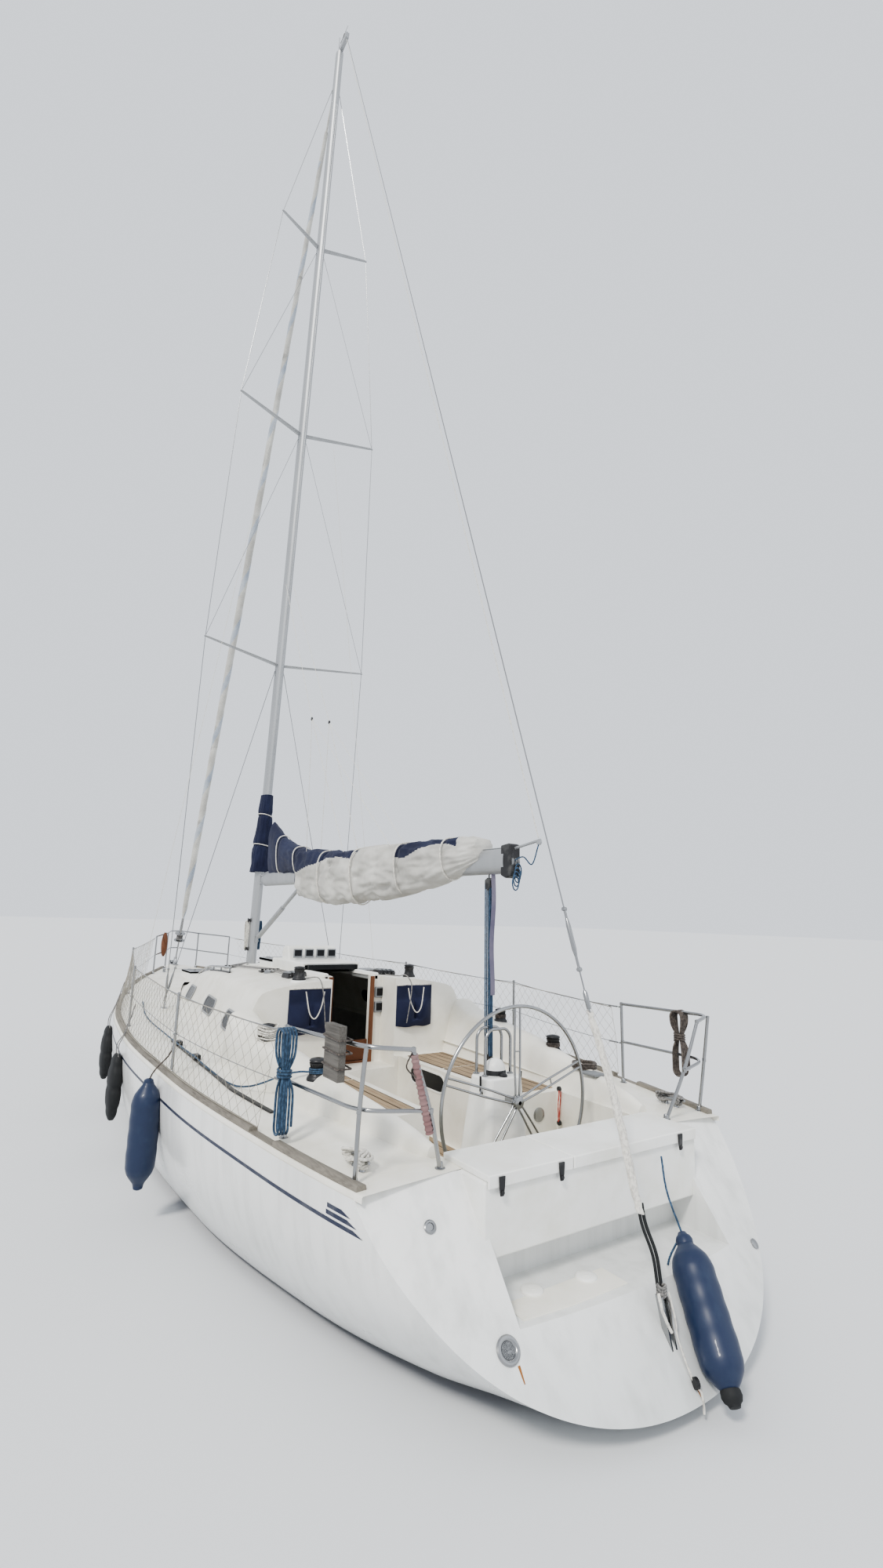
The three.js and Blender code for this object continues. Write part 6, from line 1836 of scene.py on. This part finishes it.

# Lines led aft from the mast foot to the clutches, halyard coil on the mast, and the halyard tails

leads = Form()
for s in (1, -1):
    for k in range(4):
        a = np.array((mastX(1.76) - 0.1, s * (0.07 + 0.01 * k), 1.768))
        b = np.array((0.6, s * (0.5 - 0.092 + 0.046 * k), onRoof(0.6, 0.45) + 0.02))
        c = np.array((-0.75, s * (0.5 - 0.092 + 0.046 * k), onRoof(-0.75, 0.45) + 0.02))
        d = np.array((-1.43, s * (0.45 + 0.052 * k), onRoof(-1.43, 0.5) + 0.024))
        e = np.array((-1.62, s * (0.45 + 0.052 * k), onRoof(-1.6, 0.5) + 0.024))
        leads.tube([a, b, c, d, e], 0.0055, 8)
leads.make("ledLines", "yacht", greyRope, weld=0)
for k, shade in enumerate((whiteRope, blueRope)):
    f = Form()
    for j in range(5):
        c = mastAt(2.14) + (0.03, (0.074 + 0.009 * j) * (1 - 2 * k), 0)
        f.tube([c + (0.03 * sin(a), 0.006 * sin(2 * a), 0.2 * cos(a)) for a in
                fullTurn(27)], 0.0055, 8, closed=True)
    f.make(f"mastCoil_{k}", "yacht", shade, weld=0)
tails = Form()
for s in (1, -1):
    p = [(-2.06, s * 0.5, 1.86), (-2.18, s * 0.5, 1.78), (-2.2, s * 0.48, 1.62), (-2.19, s * 0.45, 1.4)]
    tails.tube(smoothPath([(-1.66, s * 0.48, onRoof(-1.66, 0.5) + 0.012),
                           (-1.85, s * 0.54, onRoof(-1.85, 0.5) + 0.012),
                           *p]), 0.0055, 8)
tails.make("halyardTails", "yacht", greyRope, weld=0)

# Sheets along the side decks, to the winches

sheets = Form()
for s in (1, -1):
    path = [(1.6, s * 1.35, deckZ(1.6, 1.35) + 0.012), (0.4, s * 1.52, deckZ(0.4, 1.5) + 0.01),
            (-1.2, s * 1.58, deckZ(-1.2, 1.55) + 0.04), (-1.9, s * 1.58, deckZ(-1.9, 1.55) + 0.045),
            (-2.9, s * 1.5, deckZ(-2.9, 1.5) + 0.01), (-3.45, s * 1.3, 1.33), (-3.6, s * 1.21, 1.36)]
    sheets.tube(smoothPath(path), 0.0065, 10, strands=3)
sheets.make("genoaSheets", "yacht", blueRope, weld=0)

# Fenders


def fenderForm(radius, length, foot, head, squash=1.0, out=(0, 1, 0)):
    f = Form()
    a, b = np.asarray(foot, float), np.asarray(head, float)
    up = unit(b - a)
    span = float(np.linalg.norm(b - a))
    outward = unit(np.asarray(out, float) - up * np.dot(out, up))
    across = np.cross(up, outward)
    table = [(0, 0.18), (0.03, 0.36), (0.05, 0.4), (0.09, 0.62), (0.14, 0.86), (0.19, 0.965), (0.24, 1),
             (0.76, 1),
             (0.81, 0.965), (0.86, 0.86), (0.91, 0.62), (0.95, 0.4), (0.97, 0.36), (1, 0.18)]
    rows = []
    for t in np.linspace(0, 1, 60):
        r = radius * float(np.interp(t, [p[0] for p in table], [p[1] for p in table]))
        rib = 1 + 0.012 * cos(t * 40) * (abs(t - 0.5) < 0.28)
        rows.append([a + up * span * t + r * rib * (squash * cos(q) * outward + sin(q) * across)
                     for q in fullTurn(36)])
    f.grid(rows, closed=True, caps=True)
    return f, a, b, up


blueY = float(hullLines(-2.15)[0]) + 0.083
f, *_ = fenderForm(0.115, 0.82, (-2.15, blueY, 0.28), (-2.15, blueY, 1.1))
f.make("fenderBlue", "yacht", vinylBlue, replaces=("fender_port_blue",), weld=0, sharp=80)
f = Form()
for z in (0.3, 1.075):
    f.lathe([(0.02, -0.03), (0.036, -0.02), (0.04, 0), (0.036, 0.02), (0.02, 0.03)], (-2.15, blueY, z),
            sides=24)
f.make("fenderBlueEnds", "yacht", vinylBlue, weld=0)
ropeAlong("fenderBlueLine", "yacht", [(-2.15, blueY, 1.09), (-2.155, blueY - 0.04, 1.17),
                                      (-2.18, 1.84, 1.3), (-2.22, 1.828, 1.46), (-2.235, 1.825, 1.76)],
          0.006, darkRope)
for name, x, y0, y1 in (("fore", 1.35, 1.7, 1.83), ("mid", -0.5, 1.89, 2.02)):
    f = Form()
    rows = []
    for t in np.linspace(0, 1, 44):
        z = 0.393 + 0.614 * t
        full = min(1.0, sin(pi * min(max(t, 0.012), 0.988)) ** 0.28)
        dent = 1 - 0.1 * abs(sin(t * pi * 3)) ** 8
        wide, deep = 0.148 * full * dent, (y1 - y0) / 2 * full * dent
        mid = (y0 + y1) / 2
        rows.append([(x + wide * copysign(abs(cos(q)) ** 0.55, cos(q)),
                      mid + deep * copysign(abs(sin(q)) ** 0.8, sin(q)), z)
                     for q in fullTurn(40)])
    f.grid(rows, closed=True, caps=True)
    f.make("fenderFlat_" + name, "yacht", vinylBlack, replaces=("fender_port_black_" + name,), weld=0,
           sharp=80)
    line = Form()
    yRail, zRail = railPath(x)
    for d in (-0.07, 0.07):
        line.tube(smoothPath([(x + d, (y0 + y1) / 2, 0.98), (x + d * 0.7, (y0 + y1) / 2 + 0.005, 1.1),
                              (x + d * 0.2, yRail, zRail + 0.05), (x, yRail - 0.07, zRail + 0.32)]), 0.005,
                  8)
    line.make("fenderFlatLine_" + name, "yacht", greyRope, weld=0)

sternFoot, sternTop = np.array((-6.004, -0.108, 0.123)), np.array((-5.515, -0.38, 0.674))
f, a, b, up = fenderForm(0.117, 0.8, sternFoot + unit(sternTop - sternFoot) * 0.03,
                         sternTop - unit(sternTop - sternFoot) * 0.03, out=(-1, 0, 0.8))
f.make("fenderStern", "yacht", vinylBlue, replaces=("fender_stern",), weld=0, sharp=80)
f = Form()
for p, way in ((a, -1), (b, 1)):
    f.lathe([(0.047, -0.035), (0.05, -0.01), (0.042, 0.008), (0.03, 0.018), (0.024, 0.03), (0, 0.034)], p,
            up * way, 28)
f.make("fenderSternEnds", "yacht", vinylBlue, weld=0)
f = Form()
f.lathe([(0.0515, -0.034), (0.0545, -0.01), (0.0465, 0.01), (0.034, 0.02), (0.028, 0.033), (0, 0.037)], a,
        -up, 28)
f.make("fenderSternFoot", "yacht", vinylBlack, weld=0)
for k, stop in enumerate(((-5.47, -0.3, 0.505), (-5.27, -0.52, 1.0))):
    mid = (b + np.asarray(stop)) / 2 + (0.02, 0.02, -0.02 + 0.04 * k)
    ropeAlong(f"fenderSternLine_{k}", "yacht", [b + up * 0.028, mid, stop], 0.006, blueRope)

# Motor pad with its lashing, and the wrapped strut beside it

f = Form()
for k in range(2):
    z0 = 1.568 + 0.148 * k
    f.block((-4.814, 1.5412, z0), (-4.626, 1.5885, z0 + 0.1465))
f.make("motorPad", "yacht", oldWood, replaces=("motor_pad",), bevel=0.004, segments=2, weld=0)
f = Form()
for z in (1.64, 1.72, 1.79):
    ring = [(-4.72 + 0.1 * c, 1.5505 + 0.05 * s, z + 0.004 * c) for c, s in
            ((1, 0.86), (1, -0.9), (-1, -0.9), (-1, 0.86))]
    f.tube(rounded([*ring, ring[0]], 0.01, 3), 0.005, 8)
f.make("padLashing", "yacht", darkRope, weld=0)
f = Form()
strut = [np.array((-5.045, 1.245, 1.74)), np.array((-5.0, 1.05, 1.13))]
f.tube([strut[0] + (strut[1] - strut[0]) * t for t in np.linspace(0.02, 0.72, 40)],
       lambda t: 0.021 + 0.0035 * sin(t * 95), 18)
f.make("wrappedStrut", "yacht", wrap, weld=0)
ropeAlong("strutCord", "yacht", [strut[0] + (0, 0.01, 0), strut[0] + (0.02, 0.03, -0.08),
                                 strut[0] + (0.0, -0.03, -0.14)], 0.004, darkRope)

# Tackle on the seat end, stern cleat hitch

tackle = {"a": [(-4.02, -0.84, 1.1), (-4.0, -0.85, 0.98), (-4.01, -0.83, 0.86)],
          "b": [(-4.02, -0.82, 1.1), (-4.03, -0.8, 0.98), (-4.01, -0.82, 0.86)]}
for part, path in tackle.items():
    ropeAlong("redTackle_" + part, "yacht", path, 0.005, redRope)
f = Form()
for z in (1.11, 0.85):
    f.lathe([(0.006, -0.011), (0.02, -0.009), (0.02, 0.009), (0.006, 0.011)], (-4.01, -0.83, z), (0, 1, 0),
            20)
f.make("tackleBlocks", "yacht", black)
for s, shade in ((1, whiteRope), (-1, greyRope)):
    z = deckZ(-4.7, 1.37)
    path = []
    for i in range(150):
        a = 2 * pi * i / 30
        lap = i // 30
        path.append((-4.7 + (0.082 + 0.006 * lap) * sin(a + 0.3 * lap),
                     s * 1.37 + (0.03 + 0.007 * lap) * sin(2 * a),
                     z + 0.028 + 0.011 * i / 30 + 0.014 * cos(a * 2 + lap)))
    ropeAlong(f"cleatHitch_{'port' if s > 0 else 'starboard'}", "yacht", path, 0.0088, shade, steps=0,
              sides=10)

# A wrapped bundle hung on the bow rail

f = Form()
rows = []
c = onDeckAt(4.9, 0.16, 0.5)
for t in np.linspace(0, 1, 40):
    z = c[2] - 0.24 + 0.42 * t
    r = 0.075 * sin(pi * min(max(t, 0.03), 0.97)) ** 0.4
    rows.append([(c[0] + (r + 0.012 * noise.noise(Vector((cos(q) * 2, sin(q) * 2, z * 9)))) * cos(q),
                  c[1] + 0.7 * r * sin(q), z) for q in fullTurn(32)])
f.grid(rows, closed=True, caps=True)
f.make("bowBundle", "yacht", varnish, weld=0, sharp=80)

# Hanks and the coil, which are free ropes


hank = {"gap": 0.048, "thick": 0.0102, "runs": 10, "wraps": 3, "radius": 0.0078}


def hankPath(centre, top, bottom, waist):  # runs folded up and down, then wrapped
    gap, thick, runs, wraps = (hank[k] for k in ("gap", "thick", "runs", "wraps"))
    out = []
    cx, cy = centre

    def squeezed(x, y, z):
        q = 1 - 0.62 * exp(-((z - waist) / 0.07) ** 2)
        return cx + (x - cx) * q, cy + (y - cy) * q, z

    for i in range(runs):
        side = 1 if i % 2 else -1
        y = cy + (i - (runs - 1) / 2) * thick
        zs = np.linspace(bottom, top, 18) if side < 0 else np.linspace(top, bottom, 18)
        last = i == runs - 1
        for z in zs:
            if last and z < waist + 0.03:
                break
            out.append(squeezed(cx + side * gap, y, z))
        if not last:
            turn = top if side < 0 else bottom
            way = 1 if side < 0 else -1
            for a in np.linspace(0, pi, 11)[1:-1]:
                out.append((cx + side * gap * cos(a), y + thick * a / pi, turn + way * gap * sin(a)))
    start = atan2((out[-1][1] - cy) / 0.05, (out[-1][0] - cx) / 0.05)
    for k in range(16 * wraps + 1):
        a = start + 2 * pi * k / 16
        out.append((cx + 0.038 * cos(a), cy + 0.042 * sin(a), waist + 0.02 - 0.0175 * k / 16))
    return out


def freeRope(name, node, points, radius, shader):
    curve = bpy.data.curves.new(name, "CURVE")
    curve.dimensions = "3D"
    curve.bevel_depth, curve.bevel_resolution = radius, 3
    spline = curve.splines.new("POLY")
    spline.points.add(len(points) - 1)
    for p, q in zip(spline.points, points):
        p.co = (*map(float, q), 1)
    curve.use_fill_caps = True
    curve.materials.append(shader.material)
    obj = bpy.data.objects.new(name, curve)
    bpy.context.scene.collection.objects.link(obj)
    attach(obj, "yacht")
    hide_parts(node)
    p = np.asarray(points, float)


freeRope("hankPort", "rope_hank_port", hankPath((-4.15, 1.625), 1.715, 1.195, 1.5), hank["radius"], blueRope)
freeRope("hankStarboard", "rope_hank_starboard", hankPath((-4.7, -1.5), 1.73, 1.33, 1.58), hank["radius"],
         darkRope)
coil = []
for i in range(14 * 6 + 1):
    a = 2 * pi * i / 14
    lap = i // 28
    rr = 0.104 - 0.0165 * (i % 28) / 14
    coil.append((-4.08 + rr * cos(a), -1.06 + rr * sin(a), 1.271 + 0.0165 * lap * 1.02
                 + 0.002 * sin(3 * a)))
freeRope("coilStarboard", "rope_coil_starboard", coil, hank["radius"], darkRope)
print("soft gear ready")

# A plain pale floor that isn't part of the boat

floorSize = 160
floorMesh = bpy.data.meshes.new("floor")
floorMesh.from_pydata([(x, y, 0) for x, y in ((-floorSize, -floorSize), (floorSize, -floorSize),
                                              (floorSize, floorSize), (-floorSize, floorSize))], [],
                      [(0, 1, 2, 3)])
floor = bpy.data.objects.new("floor", floorMesh)
floorMesh.materials.append(Shader("floor", colour=(0.7, 0.71, 0.72), roughness=0.9).material)
bpy.context.scene.collection.objects.link(floor)
floor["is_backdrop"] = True

low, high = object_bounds()
